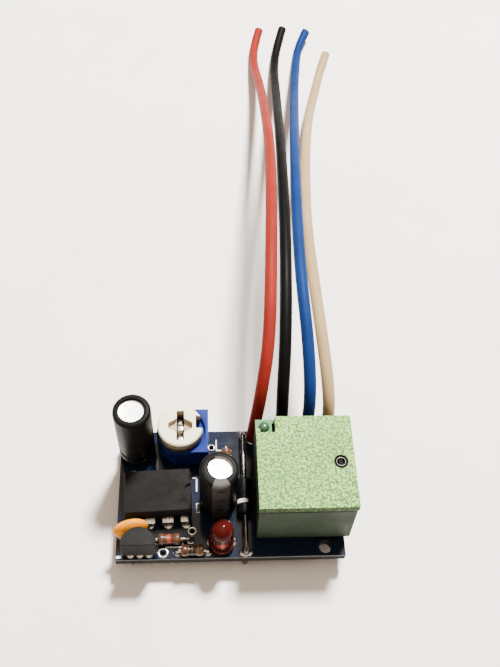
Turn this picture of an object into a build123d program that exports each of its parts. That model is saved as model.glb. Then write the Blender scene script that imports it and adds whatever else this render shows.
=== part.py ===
"""Time delay relay: a small timer board that carries a sealed relay, and four free wires.

Millimetres, +Z up. The board stands on its trimmed lead tips, at Z = 0. Inside the functions X
runs right from the board's left edge and Y back from its front edge. The saved parts are moved
so that the origin is below the middle of the board assembly.
"""
from build123d import *
from dataclasses import dataclass
import math
import os

# Board
board_thickness = 1.6
lead_stick_out = 2.4
lead_stagger = 0.25
board_edge_margin = 0.38
hole_clearance = 0.1
copper_thickness = 0.07
pad_ring_thickness = 0.05
silk_thickness = 0.03
silk_line = 0.16
solder_height = 0.9
pad_margin = 0.42
chip_pad_margin = 0.3
resistor_pad_margin = 0.3
transistor_pad_margin = 0.15
trimmer_pad_margin = 0.25
diode_pad_margin = 0.12
solder_collar = 0.05
track_width = 0.7
mounting_hole_radius = 0.9
mounting_hole_from_right = 2.74
mounting_hole_from_front = 1.25

# Empty tinned holes
via_hole_radius = 0.3
via_margin = 0.28
via_right_of_chip_pin = 0.8
via_before_chip_pin = 1.0
via_right_of_transistor = 0.8
via_right_of_trimmer = 0.45
via_before_rotor = 0.83

# Printed marks
chip_mark_back_start = 1.0
chip_bracket_front = 2.2
chip_bracket_back = 0.9
mark_hook = 0.5
resistor_mark_gap = 0.17
resistor_mark_length = 2.3
resistor_mark_rise = 0.7
trimmer_mark_gap = 1.1
trimmer_mark_front = 1.33
trimmer_mark_length = 1.3
trimmer_mark_rise = 1.8
corner_mark_left = 0.1
corner_mark_front = 0.2
corner_mark_length = 0.7
corner_mark_width = 0.35

# Timer chip
chip_length = 9.3
chip_width = 6.35
chip_height = 3.3
chip_lift = 0.5
chip_left_margin = 1.18
chip_taper = 6
chip_notch_radius = 0.75
chip_notch_depth = 0.4
chip_pin_pitch = 2.54
chip_row_half = 3.81
chip_pins_per_row = 4
chip_lead_thickness = 0.25
chip_lead_narrow = 0.5
chip_lead_wide = 1.52
chip_lead_end_wide = 1.02
chip_lead_in_body = 0.9
chip_shoulder_above_board = 0.6
chip_lead_stick_out = 1.5
die_length = 2.2
die_width = 1.6
die_thickness = 0.35

# Transistor
transistor_width = 4.7
transistor_depth = 2.6
transistor_height = 4.0
transistor_lift = 1.0
transistor_left_margin = 0.95
transistor_front_margin = 0.4
transistor_pitch = 1.27
transistor_lead = 0.45
transistor_lead_from_front = 0.45
transistor_shoulder_width = 1.0
transistor_shoulder_above_board = 0.25
transistor_lead_in_body = 1.2

# Ceramic capacitor
ceramic_slot = 1.73
ceramic_radius = 2.45
ceramic_half_thickness = 0.9
ceramic_rim = 0.5
ceramic_centre_height = 3.2
ceramic_lean = 10
ceramic_bend = 1.5
ceramic_centre_x = 2.1
ceramic_lead = 0.5
ceramic_pitch = 2.54
ceramic_lead_gap = 0.48
ceramic_disc_radius = 1.6
ceramic_disc_thickness = 0.6

# Electrolytic capacitors
can_radius = 2.5
can_length = 11.0
can_wall = 0.2
sleeve_thickness = 0.1
sleeve_rim_radius = 1.85
sleeve_under_rim = 0.5
crimp_depth = 0.3
crimp_start = 0.9
crimp_floor_start = 1.2
crimp_floor_end = 1.6
crimp_end = 1.9
bung_height = 2.1
element_gap = 0.3
vent_score_width = 0.14
vent_score_depth = 0.07
electrolytic_pitch = 2.0
electrolytic_lead = 0.5
timing_capacitor_x = 2.46
timing_capacitor_lift = 1.3
timing_capacitor_gap = 1.05
supply_capacitor_lift = 0.3
supply_capacitor_gap = 1.0
supply_capacitor_to_led = 1.39

# Trimmer
trimmer_gap = 0.28
trimmer_from_chip = 1.28
trimmer_width = 6.9
trimmer_right_half = 4.0
trimmer_base_height = 3.6
trimmer_well_radius = 3.55
trimmer_wing_rise = 0.6
trimmer_base_lift = 0.2
trimmer_groove_outer = 2.7
trimmer_groove_inner = 1.45
trimmer_groove_depth = 1.0
rotor_radius = 3.25
rotor_height = 2.2
rotor_gap = 0.1
rotor_slot_width = 1.05
rotor_slot_length = 4.6
rotor_arm_length = 3.45
rotor_arm_end_width = 0.8
rotor_arm_middle_width = 2.8
rotor_arm_depth = 0.9
rotor_notch_inset = 2.2
rotor_notch_front = 0.45
rotor_notch_back = 1.5
rotor_chamfer = 0.25
hub_radius = 1.2
hub_depth = 2.0
hub_clearance = 0.05
wiper_width = 0.8
wiper_thickness = 0.3
wiper_foot = 0.35
wiper_reach = 2.1
wiper_gap = 0.02
track_inner = 1.65
track_outer = 2.5
track_thickness = 0.15
track_mouth = 80
trimmer_pin_pitch = 2.54
trimmer_pin_width = 0.7
trimmer_pin_thickness = 0.35
trimmer_end_pin_offset = 1.9
trimmer_wiper_pin_inset = 1.6
trimmer_pin_cover = 0.2

# Light emitting diode
led_radius = 1.5
led_flange_radius = 1.9
led_flange_height = 1.0
led_flat_depth = 0.3
led_height = 5.3
led_lift = 0.1
led_front_margin = 0.3
led_from_capacitor = 0.44
led_pitch = 2.54
led_lead = 0.45
led_post_height = 2.6
led_post_foot = 0.6
led_post_outer = 1.25
led_cup_radius = 0.6
led_cup_depth = 0.3
led_cup_height = 0.8
led_cup_floor_radius = 0.3
led_cup_rim_radius = 0.48
led_die_side = 0.3

# Rectifier diode
diode_radius = 1.1
diode_length = 5.2
diode_gap_left = 0.06
diode_front = 5.7
diode_lead = 0.75
diode_bend = 0.7
diode_front_hole = 0.62
diode_back_margin = 0.7
diode_chamfer = 0.15

# Resistors
resistor_radius = 0.8
resistor_waist = 0.66
resistor_nose_radius = 0.56
resistor_nose_length = 0.2
resistor_cap_length = 0.8
resistor_waist_start = 1.1
resistor_length = 3.2
resistor_lead = 0.45
resistor_reach = 0.5
resistor_bend = 0.35
feed_resistor_right_reach = 1.35
resistor_front_margin = 0.05
resistor_row_gap = 0.05
feed_resistor_from_transistor = 0.05
led_resistor_from_feed = 0.0
base_resistor_from_can = 1.3
base_resistor_from_back = 4.9

# Relay
relay_width = 13.2
relay_depth = 13.86
relay_height = 10.1
relay_wall = 0.6
relay_fillet = 0.2
relay_gap_left = 0.3
relay_overhang = 0.8
relay_front_margin = 2.53
relay_band_height = 0.8
relay_band_proud = 0.1
relay_foot = 0.3
relay_foot_side = 1.2
relay_base_thickness = 1.0
relay_base_clearance = 0.05
notch_width = 3.0
notch_depth = 2.3
notch_drop = 1.0
vent_nub_radius = 0.6
vent_nub_height = 0.5
dot_from_right = 1.93
dot_from_front = 6.94
dot_radius = 0.88
dot_ring_outer = 0.6
dot_ring_inner = 0.4
dot_depth = 0.25

# Relay motor
yoke_thickness = 0.8
yoke_width = 5.0
yoke_back_gap = 0.6
coil_to_yoke = 0.6
coil_to_contacts = 0.8
flange_thickness = 0.4
bobbin_wall = 0.45
core_radius = 1.1
winding_inset = 0.35
pole_radius = 1.9
pole_thickness = 0.5
pole_gap = 0.45
hinge_gap = 0.05
armature_thickness = 0.8
armature_width = 5.6
armature_tail = 0.3
ceiling_room = 1.45
leaf_thickness = 0.15
leaf_width = 3.0
leaf_overlap = 4.0
leaf_lead = 0.9

# Relay contacts
contact_radius = 0.7
contact_head = 0.3
contact_gap = 0.05
contact_travel = 0.6
fixed_contact_height = 0.2
contact_bay = 2.8
terminal_inset = 0.3
terminal_thickness = 0.35
terminal_width = 1.4
terminal_side_margin = 1.5
relay_pin_width = 0.8
relay_pin_thickness = 0.5
coil_pin_diameter = 0.6
coil_pin_side_margin = 1.2
coil_pin_rise = 1.2

# Wires
wire_diameter = 1.8
wire_core_diameter = 0.9
wire_from_relay = 0.62
wire_strip_length = 0.3
strand_length = 0.5
bend_share = 0.45
wire_clear_of_table = 0.05
red_wire_from_relay_left = 0.06
black_wire_from_red = 4.2
blue_wire_from_white = 3.1
white_wire_from_right = 1.34

# Levels
board_underside = lead_stick_out
board_top = board_underside + board_thickness

# Places along X, each from its neighbour on the left
chip_x = chip_left_margin + chip_length / 2
chip_right = chip_left_margin + chip_length
last_pin_x = chip_x + chip_pin_pitch * (chip_pins_per_row - 1) / 2
transistor_x = transistor_left_margin + transistor_width / 2
transistor_right = transistor_left_margin + transistor_width
feed_resistor_x = transistor_right + feed_resistor_from_transistor + resistor_length / 2
led_resistor_x = feed_resistor_x + resistor_length + led_resistor_from_feed
led_least_x = led_resistor_x + resistor_length / 2 + resistor_reach + led_flange_radius
sleeve_radius = can_radius + sleeve_thickness
supply_capacitor_x = max(chip_right + supply_capacitor_gap + sleeve_radius,
                         led_least_x - led_from_capacitor)
led_x = supply_capacitor_x + led_from_capacitor
diode_x = supply_capacitor_x + sleeve_radius + diode_gap_left + diode_radius
relay_left = diode_x + diode_radius + relay_gap_left
board_length = relay_left + relay_width - relay_overhang
red_wire_x = relay_left + red_wire_from_relay_left
black_wire_x = red_wire_x + black_wire_from_red
white_wire_x = board_length - white_wire_from_right
blue_wire_x = white_wire_x - blue_wire_from_white
trimmer_left = timing_capacitor_x + sleeve_radius + trimmer_gap
rotor_x = trimmer_left + trimmer_width / 2
trimmer_right = rotor_x + trimmer_right_half
base_resistor_x = supply_capacitor_x + base_resistor_from_can

# Places along Y, each from its neighbour in front
transistor_back = transistor_front_margin + transistor_depth
chip_pin_front = transistor_back + ceramic_slot + chip_lead_thickness / 2
chip_y = chip_pin_front + chip_row_half
chip_pin_back = chip_y + chip_row_half
led_y = led_front_margin + led_flange_radius
supply_capacitor_y = led_y + led_flange_radius + supply_capacitor_to_led + sleeve_radius
timing_capacitor_y = chip_pin_back + timing_capacitor_gap + sleeve_radius
rotor_y = chip_pin_back + trimmer_from_chip + trimmer_width / 2 + chip_lead_thickness / 2
led_resistor_y = resistor_front_margin + resistor_radius
feed_resistor_y = led_resistor_y + 2 * resistor_radius + resistor_row_gap
relay_back = relay_front_margin + relay_depth
wire_y = relay_back + wire_from_relay + wire_diameter / 2
board_width = max(timing_capacitor_y + sleeve_radius, wire_y + wire_diameter / 2) + board_edge_margin
base_resistor_y = board_width - base_resistor_from_back
diode_back_hole = board_width - diode_back_margin
ceramic_y = transistor_back + ceramic_lead_gap

# The saved parts' origin, below the middle of the board assembly
assembly_left = min(0.0, ceramic_centre_x - ceramic_radius, timing_capacitor_x - sleeve_radius)
assembly_right = max(board_length, relay_left + relay_width)
assembly_back = max(board_width, rotor_y + trimmer_width / 2)
origin_x = (assembly_left + assembly_right) / 2
origin_y = assembly_back / 2


@dataclass(frozen=True)
class Lead:
    """A lead that goes through the board, or the place of one in an empty hole.

    Its depth along Y is 0 where it is round.
    """

    x: float
    y: float
    width: float
    depth: float
    margin: float
    empty: bool

    @property
    def hole(self):
        """Radius of the drilled hole round the lead."""
        return math.hypot(self.width, self.depth) / 2 + hole_clearance

    @property
    def pad(self):
        """Radius of the copper pad round the hole."""
        return self.hole + self.margin

    def section(self, z0, z1):
        """The lead itself between two levels."""
        if self.depth == 0:
            return rod(self.x, self.y, z0, z1, self.width / 2)
        half, deep = self.width / 2, self.depth / 2
        return block(self.x - half, self.x + half, self.y - deep, self.y + deep, z0, z1)


# Every lead that goes through the board, so that holes, pads and solder are made to suit it
leads = []


def lead_hole(x, y, width, depth=0.0, margin=pad_margin, empty=False):
    """Notes one lead of the part."""
    leads.append(Lead(x, y, width, depth, margin, empty))


def block(x0, x1, y0, y1, z0, z1):
    """A box between two corners."""
    size = (x1 - x0, y1 - y0, z1 - z0)
    return Pos((x0 + x1) / 2, (y0 + y1) / 2, (z0 + z1) / 2) * Box(*size)


def rod(x, y, z0, z1, radius):
    """An upright cylinder between two levels."""
    return Pos(x, y, (z0 + z1) / 2) * Cylinder(radius, z1 - z0)


def tube(x, y, z0, z1, outer, inner):
    """An upright tube between two levels."""
    return rod(x, y, z0, z1, outer) - rod(x, y, z0, z1, inner)


def turned(*points):
    """A solid of revolution about Z from its half outline in (radius, height)."""
    return revolve(Plane.XZ * make_face(Polyline(*points, close=True)), Axis.Z)


def swept(path, radius):
    """A round bar along a path."""
    profile = Plane(path @ 0, z_dir=path % 0) * Circle(radius)
    return sweep(profile, path=path)


def tip_level(order):
    """Height of a trimmed lead's tip: the first of every three touches down."""
    return lead_stagger * (order % 3) / 2


def bent_lead(body_end, hole, level, thickness, bend, tip, margin):
    """A lead that runs level from a body's end to above its hole, then down through the board."""
    points = [(*body_end, level), (*hole, level), (*hole, tip)]
    lead_hole(*hole, thickness, margin=margin)
    return swept(FilletPolyline(*points, radius=bend), thickness / 2)


def resistor(x, y, turn=0, front_reach=resistor_reach, back_reach=resistor_reach):
    """A dipped resistor that lies on the board, turned about Z from along X.

    The reaches run from its two ends to its two holes.
    """
    half = resistor_length / 2
    nose = half - resistor_nose_length
    cap = half - resistor_cap_length
    waist = half - resistor_waist_start
    level = board_top + resistor_radius
    outline = [
        (0, -half), (resistor_nose_radius, -half), (resistor_radius, -nose), (resistor_radius, -cap),
        (resistor_waist, -waist), (resistor_waist, waist), (resistor_radius, cap),
        (resistor_radius, nose), (resistor_nose_radius, half), (0, half),
    ]
    body = Pos(x, y, level) * Rot(0, 0, turn) * Rot(0, 90, 0) * turned(*outline)
    along_x, along_y = math.cos(math.radians(turn)), math.sin(math.radians(turn))
    pair = []
    for order, (side, reach) in enumerate(((-1, front_reach), (1, back_reach))):
        end, hole = side * half, side * (half + reach)
        pair.append(bent_lead((x + end * along_x, y + end * along_y),
                              (x + hole * along_x, y + hole * along_y), level, resistor_lead,
                              resistor_bend, tip_level(order), resistor_pad_margin))
    return body, pair


def electrolytic(x, y, lift):
    """An upright electrolytic capacitor: can, sleeve, bung, wound element and two leads."""
    base = board_top + lift
    inner = can_radius - can_wall
    groove = can_radius - crimp_depth
    can = turned(
        (can_radius, 0), (can_radius, crimp_start), (groove, crimp_floor_start),
        (groove, crimp_floor_end), (can_radius, crimp_end), (can_radius, can_length),
        (0, can_length), (0, can_length - can_wall), (inner, can_length - can_wall),
        (inner, crimp_end), (groove - can_wall, crimp_floor_end),
        (groove - can_wall, crimp_floor_start), (inner, crimp_start), (inner, 0),
    )
    for turn in (45, 135):
        score = Box(2 * sleeve_rim_radius - vent_score_width, vent_score_width, 2 * vent_score_depth)
        can -= Pos(0, 0, can_length) * Rot(0, 0, turn) * score
    outer = sleeve_radius
    sleeve = turned(
        (outer, -sleeve_thickness), (outer, crimp_start),
        (groove + sleeve_thickness, crimp_floor_start),
        (groove + sleeve_thickness, crimp_floor_end), (outer, crimp_end),
        (outer, can_length + sleeve_thickness), (sleeve_rim_radius, can_length + sleeve_thickness),
        (sleeve_rim_radius, can_length), (can_radius, can_length), (can_radius, crimp_end),
        (groove, crimp_floor_end), (groove, crimp_floor_start), (can_radius, crimp_start),
        (can_radius, 0), (can_radius - sleeve_under_rim, 0),
        (can_radius - sleeve_under_rim, -sleeve_thickness),
    )
    bung = turned(
        (0, 0), (inner, 0), (inner, crimp_start), (groove - can_wall, crimp_floor_start),
        (groove - can_wall, crimp_floor_end), (inner, crimp_end), (inner, bung_height), (0, bung_height),
    )
    element = rod(0, 0, bung_height, can_length - can_wall - element_gap, inner - can_wall / 2)
    place = Pos(x, y, base)
    pair = []
    for order, side in enumerate((-1, 1)):
        offset = side * electrolytic_pitch / 2
        bung -= rod(offset, 0, 0, bung_height, electrolytic_lead / 2)
        lead_hole(x + offset, y, electrolytic_lead)
        pair.append(rod(x + offset, y, tip_level(order), base + bung_height, electrolytic_lead / 2))
    return {
        "can": [place * can], "sleeve": [place * sleeve], "bung": [place * bung],
        "element": [place * element], "leads": pair,
    }


def chip_lead(pin, row):
    """One lead of the timer chip. row is -1 at the front and 1 at the back."""
    first_x = chip_x - chip_pin_pitch * (chip_pins_per_row - 1) / 2
    x = first_x + pin * chip_pin_pitch
    outside = {0: -1, chip_pins_per_row - 1: 1}.get(pin, 0)
    wide = chip_lead_wide / 2
    end = chip_lead_end_wide - wide
    left = end if outside < 0 else wide
    right = end if outside > 0 else wide
    level = board_top + chip_lift + chip_height / 2
    face = chip_y + row * chip_row_half
    inner = chip_y + row * (chip_width / 2 - chip_lead_in_body)
    outer = face + row * chip_lead_thickness / 2
    near = face - row * chip_lead_thickness / 2
    arm = block(x - left, x + right, *sorted((inner, outer)), level, level + chip_lead_thickness)
    shoulder = block(x - left, x + right, *sorted((near, outer)),
                     board_top + chip_shoulder_above_board, level + chip_lead_thickness)
    narrow = chip_lead_narrow / 2
    foot = block(x - narrow, x + narrow, *sorted((near, outer)),
                 board_underside - chip_lead_stick_out, level)
    lead_hole(x, face, chip_lead_narrow, chip_lead_thickness, chip_pad_margin)
    return arm + shoulder + foot


def timer_chip():
    """The eight-pin timer chip, soldered straight to the board."""
    chip_leads = [chip_lead(pin, row) for row in (-1, 1) for pin in range(chip_pins_per_row)]
    middle = board_top + chip_lift + chip_height / 2
    plan = Rectangle(chip_length, chip_width)
    upper = extrude(plan, chip_height / 2, taper=chip_taper)
    lower = extrude(plan, -chip_height / 2, taper=chip_taper)
    body = Pos(chip_x, chip_y, middle) * (upper + lower)
    notch_x = chip_right - chip_height / 2 * math.tan(math.radians(chip_taper))
    top = board_top + chip_lift + chip_height
    body -= rod(notch_x, chip_y, top - chip_notch_depth, top + chip_notch_depth, chip_notch_radius)
    die = Pos(chip_x, chip_y, middle) * Box(die_length, die_width, die_thickness)
    body -= die
    for lead in chip_leads:
        body -= lead
    return body, chip_leads, die


def transistor():
    """The three-lead transistor, with its flat side to the front."""
    radius = transistor_width / 2
    middle_y = transistor_back - radius
    bottom = board_top + transistor_lift
    top = bottom + transistor_height
    drum = rod(transistor_x, middle_y, bottom, top, radius)
    body = drum & block(transistor_x - radius, transistor_x + radius, transistor_front_margin,
                        transistor_back, bottom, top)
    half, wide = transistor_lead / 2, transistor_shoulder_width / 2
    front = transistor_front_margin + transistor_lead_from_front - half
    back = front + transistor_lead
    legs = []
    for order in (-1, 0, 1):
        x = transistor_x + order * transistor_pitch
        leg = block(x - half, x + half, front, back, tip_level(order + 1),
                    bottom + transistor_lead_in_body)
        leg += block(x - wide, x + wide, front, back, board_top + transistor_shoulder_above_board,
                     bottom)
        legs.append(leg)
        lead_hole(x, (front + back) / 2, transistor_lead, transistor_lead, transistor_pad_margin)
    for leg in legs:
        body -= leg
    return body, legs


def ceramic_capacitor():
    """The dipped disc capacitor, which leans back a little on its two leads."""
    radius, half, rim = ceramic_radius, ceramic_half_thickness, ceramic_rim / 2
    crown = half - rim
    dome = (radius ** 2 + crown ** 2) / (2 * crown)
    lens = Cylinder(radius, 2 * half)
    lens &= Pos(0, 0, half - dome) * Sphere(dome)
    lens &= Pos(0, 0, dome - half) * Sphere(dome)
    drop = ceramic_centre_height
    centre_y = ceramic_y + drop * math.tan(math.radians(ceramic_lean))
    place = Pos(ceramic_centre_x, centre_y, board_top + drop) * Rot(90 - ceramic_lean, 0, 0)
    disc = place * Cylinder(ceramic_disc_radius, ceramic_disc_thickness)
    coating = place * lens - disc
    legs = []
    for order, side in enumerate((-1, 1)):
        x = ceramic_centre_x + side * ceramic_pitch / 2
        in_disc = math.sqrt(ceramic_disc_radius ** 2 - (ceramic_pitch / 2) ** 2)
        start_y = centre_y - in_disc * math.sin(math.radians(ceramic_lean))
        start_z = board_top + drop - in_disc * math.cos(math.radians(ceramic_lean))
        points = [(x, start_y, start_z), (x, ceramic_y, board_top), (x, ceramic_y, tip_level(order))]
        leg = swept(FilletPolyline(*points, radius=ceramic_bend), ceramic_lead / 2) - disc
        legs.append(leg)
        coating -= leg
        lead_hole(x, ceramic_y, ceramic_lead)
    return coating, disc, legs


def led():
    """The round light emitting diode: lens with a flange, two posts, cup and die."""
    base = board_top + led_lift
    dome_start = led_height - led_radius
    lens = rod(0, 0, 0, led_flange_height, led_flange_radius)
    flat = led_flange_radius - led_flat_depth
    lens -= block(flat, 2 * led_flange_radius, -led_flange_radius, led_flange_radius, 0,
                  led_flange_height)
    lens += rod(0, 0, 0, dome_start, led_radius)
    lens += Pos(0, 0, dome_start) * Sphere(led_radius)
    lens = Pos(led_x, led_y, base) * lens
    half = led_lead / 2
    anode_x, cathode_x = led_x - led_pitch / 2, led_x + led_pitch / 2
    post_top = base + led_post_height
    post_x = led_x - led_cup_radius - led_lead
    front, back = led_y - half, led_y + half
    foot = base + led_post_foot
    in_flange = (foot + base + led_flange_height) / 2
    anode = block(anode_x - half, anode_x + half, front, back, 0, in_flange)
    anode += block(led_x - led_post_outer, post_x + half, front, back, foot, post_top)
    cathode = block(cathode_x - half, cathode_x + half, front, back, tip_level(1), in_flange)
    cathode += block(led_x - half, led_x + led_post_outer, front, back, foot,
                     post_top - led_cup_height)
    cup = rod(led_x, led_y, post_top - led_cup_height, post_top, led_cup_radius)
    cup -= Pos(led_x, led_y, post_top - led_cup_depth / 2) * Cone(
        led_cup_floor_radius, led_cup_rim_radius, led_cup_depth)
    cathode += cup
    side = led_die_side
    floor = post_top - led_cup_depth
    die = block(led_x - side / 2, led_x + side / 2, led_y - side / 2, led_y + side / 2, floor,
                floor + side)
    for x in (anode_x, cathode_x):
        lead_hole(x, led_y, led_lead, led_lead)
    lens -= anode
    lens -= cathode
    lens -= die
    return lens, [anode, cathode], die


def diode():
    """The rectifier diode, which lies along Y beside the relay."""
    level = board_top + diode_radius
    middle = Pos(diode_x, diode_front + diode_length / 2, level)
    body = middle * Rot(90, 0, 0) * Cylinder(diode_radius, diode_length)
    ends = body.faces().sort_by(Axis.Y)
    body = chamfer(ends[0].edges() + ends[-1].edges(), diode_chamfer)
    front = bent_lead((diode_x, diode_front), (diode_x, diode_front_hole), level, diode_lead,
                      diode_bend, 0, diode_pad_margin)
    back = bent_lead((diode_x, diode_front + diode_length), (diode_x, diode_back_hole), level,
                     diode_lead, diode_bend, 0, diode_pad_margin)
    return body, [front, back]


def trimmer():
    """The trimmer: base, resistive track, three pins, and the rotor with its wiper."""
    bottom = board_top + trimmer_base_lift
    top = board_top + trimmer_base_height
    half = trimmer_width / 2
    base = rod(rotor_x, rotor_y, bottom, top, half)
    base += block(rotor_x, trimmer_right, rotor_y - half, rotor_y + half, bottom, top)
    wing_top = top + trimmer_wing_rise
    base += (block(rotor_x, trimmer_right, rotor_y - half, rotor_y + half, top, wing_top)
             - rod(rotor_x, rotor_y, top, wing_top, trimmer_well_radius))
    floor = top - trimmer_groove_depth
    base -= tube(rotor_x, rotor_y, floor, top, trimmer_groove_outer, trimmer_groove_inner)
    base -= rod(rotor_x, rotor_y, top - hub_depth - hub_clearance, top, hub_radius + hub_clearance)
    ring = tube(rotor_x, rotor_y, floor, floor + track_thickness, track_outer, track_inner)
    mouth = math.radians(track_mouth / 2)
    reach = 2 * trimmer_width
    wedge = make_face(Polyline((0, 0), (reach * math.cos(mouth), -reach * math.sin(mouth)),
                               (reach * math.cos(mouth), reach * math.sin(mouth)), close=True))
    ring -= Pos(rotor_x, rotor_y, floor) * extrude(wedge, track_thickness)

    under = top + rotor_gap
    crown = under + rotor_height
    disc = rod(rotor_x, rotor_y, under, crown, rotor_radius)
    disc = chamfer(disc.faces().sort_by(Axis.Z)[-1].edges(), rotor_chamfer)
    slot = Pos(rotor_x, rotor_y, (under + crown) / 2) * Box(rotor_slot_width, rotor_slot_length,
                                                             rotor_height)
    arm_x, end, middle = rotor_arm_length / 2, rotor_arm_end_width / 2, rotor_arm_middle_width / 2
    arm_outline = Polyline((-arm_x, -end), (0, -middle), (arm_x, -end), (arm_x, end), (0, middle),
                           (-arm_x, end), close=True)
    arm = extrude(make_face(arm_outline), rotor_arm_depth)
    notch = block(rotor_x + rotor_notch_inset, rotor_x + 2 * rotor_radius,
                  rotor_y - rotor_notch_front,
                  rotor_y + rotor_notch_back, under, crown)
    rotor = disc - slot - notch - Pos(rotor_x, rotor_y, crown - rotor_arm_depth) * arm
    rotor += rod(rotor_x, rotor_y, top - hub_depth, under, hub_radius)

    foot_bottom = floor + track_thickness + wiper_gap
    wiper = Pos(rotor_x, rotor_y, under + wiper_thickness / 2) * Box(
        wiper_width, 2 * wiper_reach, wiper_thickness)
    for side in (-1, 1):
        edge = rotor_y + side * wiper_reach
        inner = edge - side * wiper_foot
        wiper += block(rotor_x - wiper_width / 2, rotor_x + wiper_width / 2, *sorted((inner, edge)),
                       foot_bottom, under + wiper_thickness)

    pins = []
    places = [
        (rotor_x - trimmer_end_pin_offset, rotor_y - trimmer_pin_pitch / 2),
        (rotor_x - trimmer_end_pin_offset, rotor_y + trimmer_pin_pitch / 2),
        (trimmer_right - trimmer_wiper_pin_inset, rotor_y),
    ]
    thick, wide = trimmer_pin_thickness / 2, trimmer_pin_width / 2
    for order, (x, y) in enumerate(places):
        pin = block(x - thick, x + thick, y - wide, y + wide, tip_level(order),
                    floor - trimmer_pin_cover)
        pins.append(pin)
        base -= pin
        lead_hole(x, y, trimmer_pin_thickness, trimmer_pin_width, trimmer_pad_margin)
    return base, ring, rotor, wiper, pins


def relay_cover():
    """The moulded relay cover, with its corner notch, vent nub and ringed dot."""
    x0, x1 = relay_left, relay_left + relay_width
    y0, y1 = relay_front_margin, relay_back
    proud = relay_band_proud
    bottom, top = board_top + relay_foot, board_top + relay_height
    shell = block(x0 + proud, x1 - proud, y0 + proud, y1 - proud, bottom, top)
    shell = fillet(shell.edges().filter_by(Axis.Z), relay_fillet)
    band = block(x0, x1, y0, y1, top - relay_band_height, top)
    band = fillet(band.edges().filter_by(Axis.Z) + band.faces().sort_by(Axis.Z)[-1].edges(),
                  relay_fillet)
    cover = shell + band
    wall = relay_wall
    notch_right, notch_front = x0 + notch_width, y1 - notch_depth
    room = block(x0 + wall, x1 - wall, y0 + wall, y1 - wall, bottom, top - wall)
    room -= block(x0, notch_right + wall, notch_front - wall, y1, top - notch_drop - wall, top)
    cover -= room
    cover -= block(x0 + wall, notch_right, notch_front, y1 + wall, top - notch_drop, top + wall)
    cover -= block(x0 - wall, notch_right, notch_front + wall, y1 + wall, top - notch_drop,
                   top + wall)
    nub_x, nub_y = x0 + notch_width / 2, y1 - notch_depth / 2
    nub = rod(nub_x, nub_y, top - notch_drop, top - notch_drop + vent_nub_height, vent_nub_radius)
    cover += fillet(nub.faces().sort_by(Axis.Z)[-1].edges(), relay_fillet)
    dot_x, dot_y = x1 - dot_from_right, y0 + dot_from_front
    cover -= rod(dot_x, dot_y, top - dot_depth, top, dot_radius)
    cover += tube(dot_x, dot_y, top - dot_depth, top, dot_ring_outer, dot_ring_inner)
    return cover


def relay_levels():
    """Heights in the relay, worked down from the cover's ceiling."""
    ceiling = board_top + relay_height - relay_wall
    armature_top = ceiling - ceiling_room
    armature_bottom = armature_top - armature_thickness
    pole_top = armature_bottom - pole_gap
    return ceiling, armature_top, armature_bottom, pole_top


def relay_motor():
    """Base, yoke, core, bobbin and winding of the relay, which all stay still."""
    x0, x1 = relay_left, relay_left + relay_width
    inset = relay_wall + relay_base_clearance
    base_bottom = board_top + relay_foot
    base_top = base_bottom + relay_base_thickness
    base = block(x0 + inset, x1 - inset, relay_front_margin + inset, relay_back - inset,
                 base_bottom, base_top)
    for x in (x0 + inset, x1 - inset - relay_foot_side):
        for y in (relay_front_margin + inset, relay_back - inset - relay_foot_side):
            base += block(x, x + relay_foot_side, y, y + relay_foot_side, board_top, base_bottom)

    _, _, armature_bottom, pole_top = relay_levels()
    leg_back = relay_back - relay_wall - yoke_back_gap
    leg_front = leg_back - yoke_thickness
    coil_front = relay_front_margin + relay_wall + contact_bay + coil_to_contacts
    coil_radius = (leg_front - coil_to_yoke - coil_front) / 2
    coil_x = x0 + relay_width / 2
    coil_y = coil_front + coil_radius
    plate_top = base_top + yoke_thickness
    half = yoke_width / 2
    yoke = block(coil_x - half, coil_x + half, coil_front, leg_back, base_top, plate_top)
    yoke += block(coil_x - half, coil_x + half, leg_front, leg_back, plate_top,
                  armature_bottom - hinge_gap)
    yoke -= rod(coil_x, coil_y, base_top, plate_top, core_radius)
    flange_top = pole_top - pole_thickness
    core = rod(coil_x, coil_y, base_top, flange_top, core_radius)
    core += rod(coil_x, coil_y, flange_top, pole_top, pole_radius)
    bobbin_radius = core_radius + bobbin_wall
    lower = plate_top + flange_thickness
    upper = flange_top - flange_thickness
    bobbin = rod(coil_x, coil_y, plate_top, lower, coil_radius)
    bobbin += rod(coil_x, coil_y, lower, upper, bobbin_radius)
    bobbin += rod(coil_x, coil_y, upper, flange_top, coil_radius)
    bobbin -= rod(coil_x, coil_y, plate_top, flange_top, core_radius)
    winding = tube(coil_x, coil_y, lower, upper, coil_radius - winding_inset, bobbin_radius)
    return base, yoke, core, bobbin, winding, (coil_x, coil_y, leg_front, leg_back)


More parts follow.
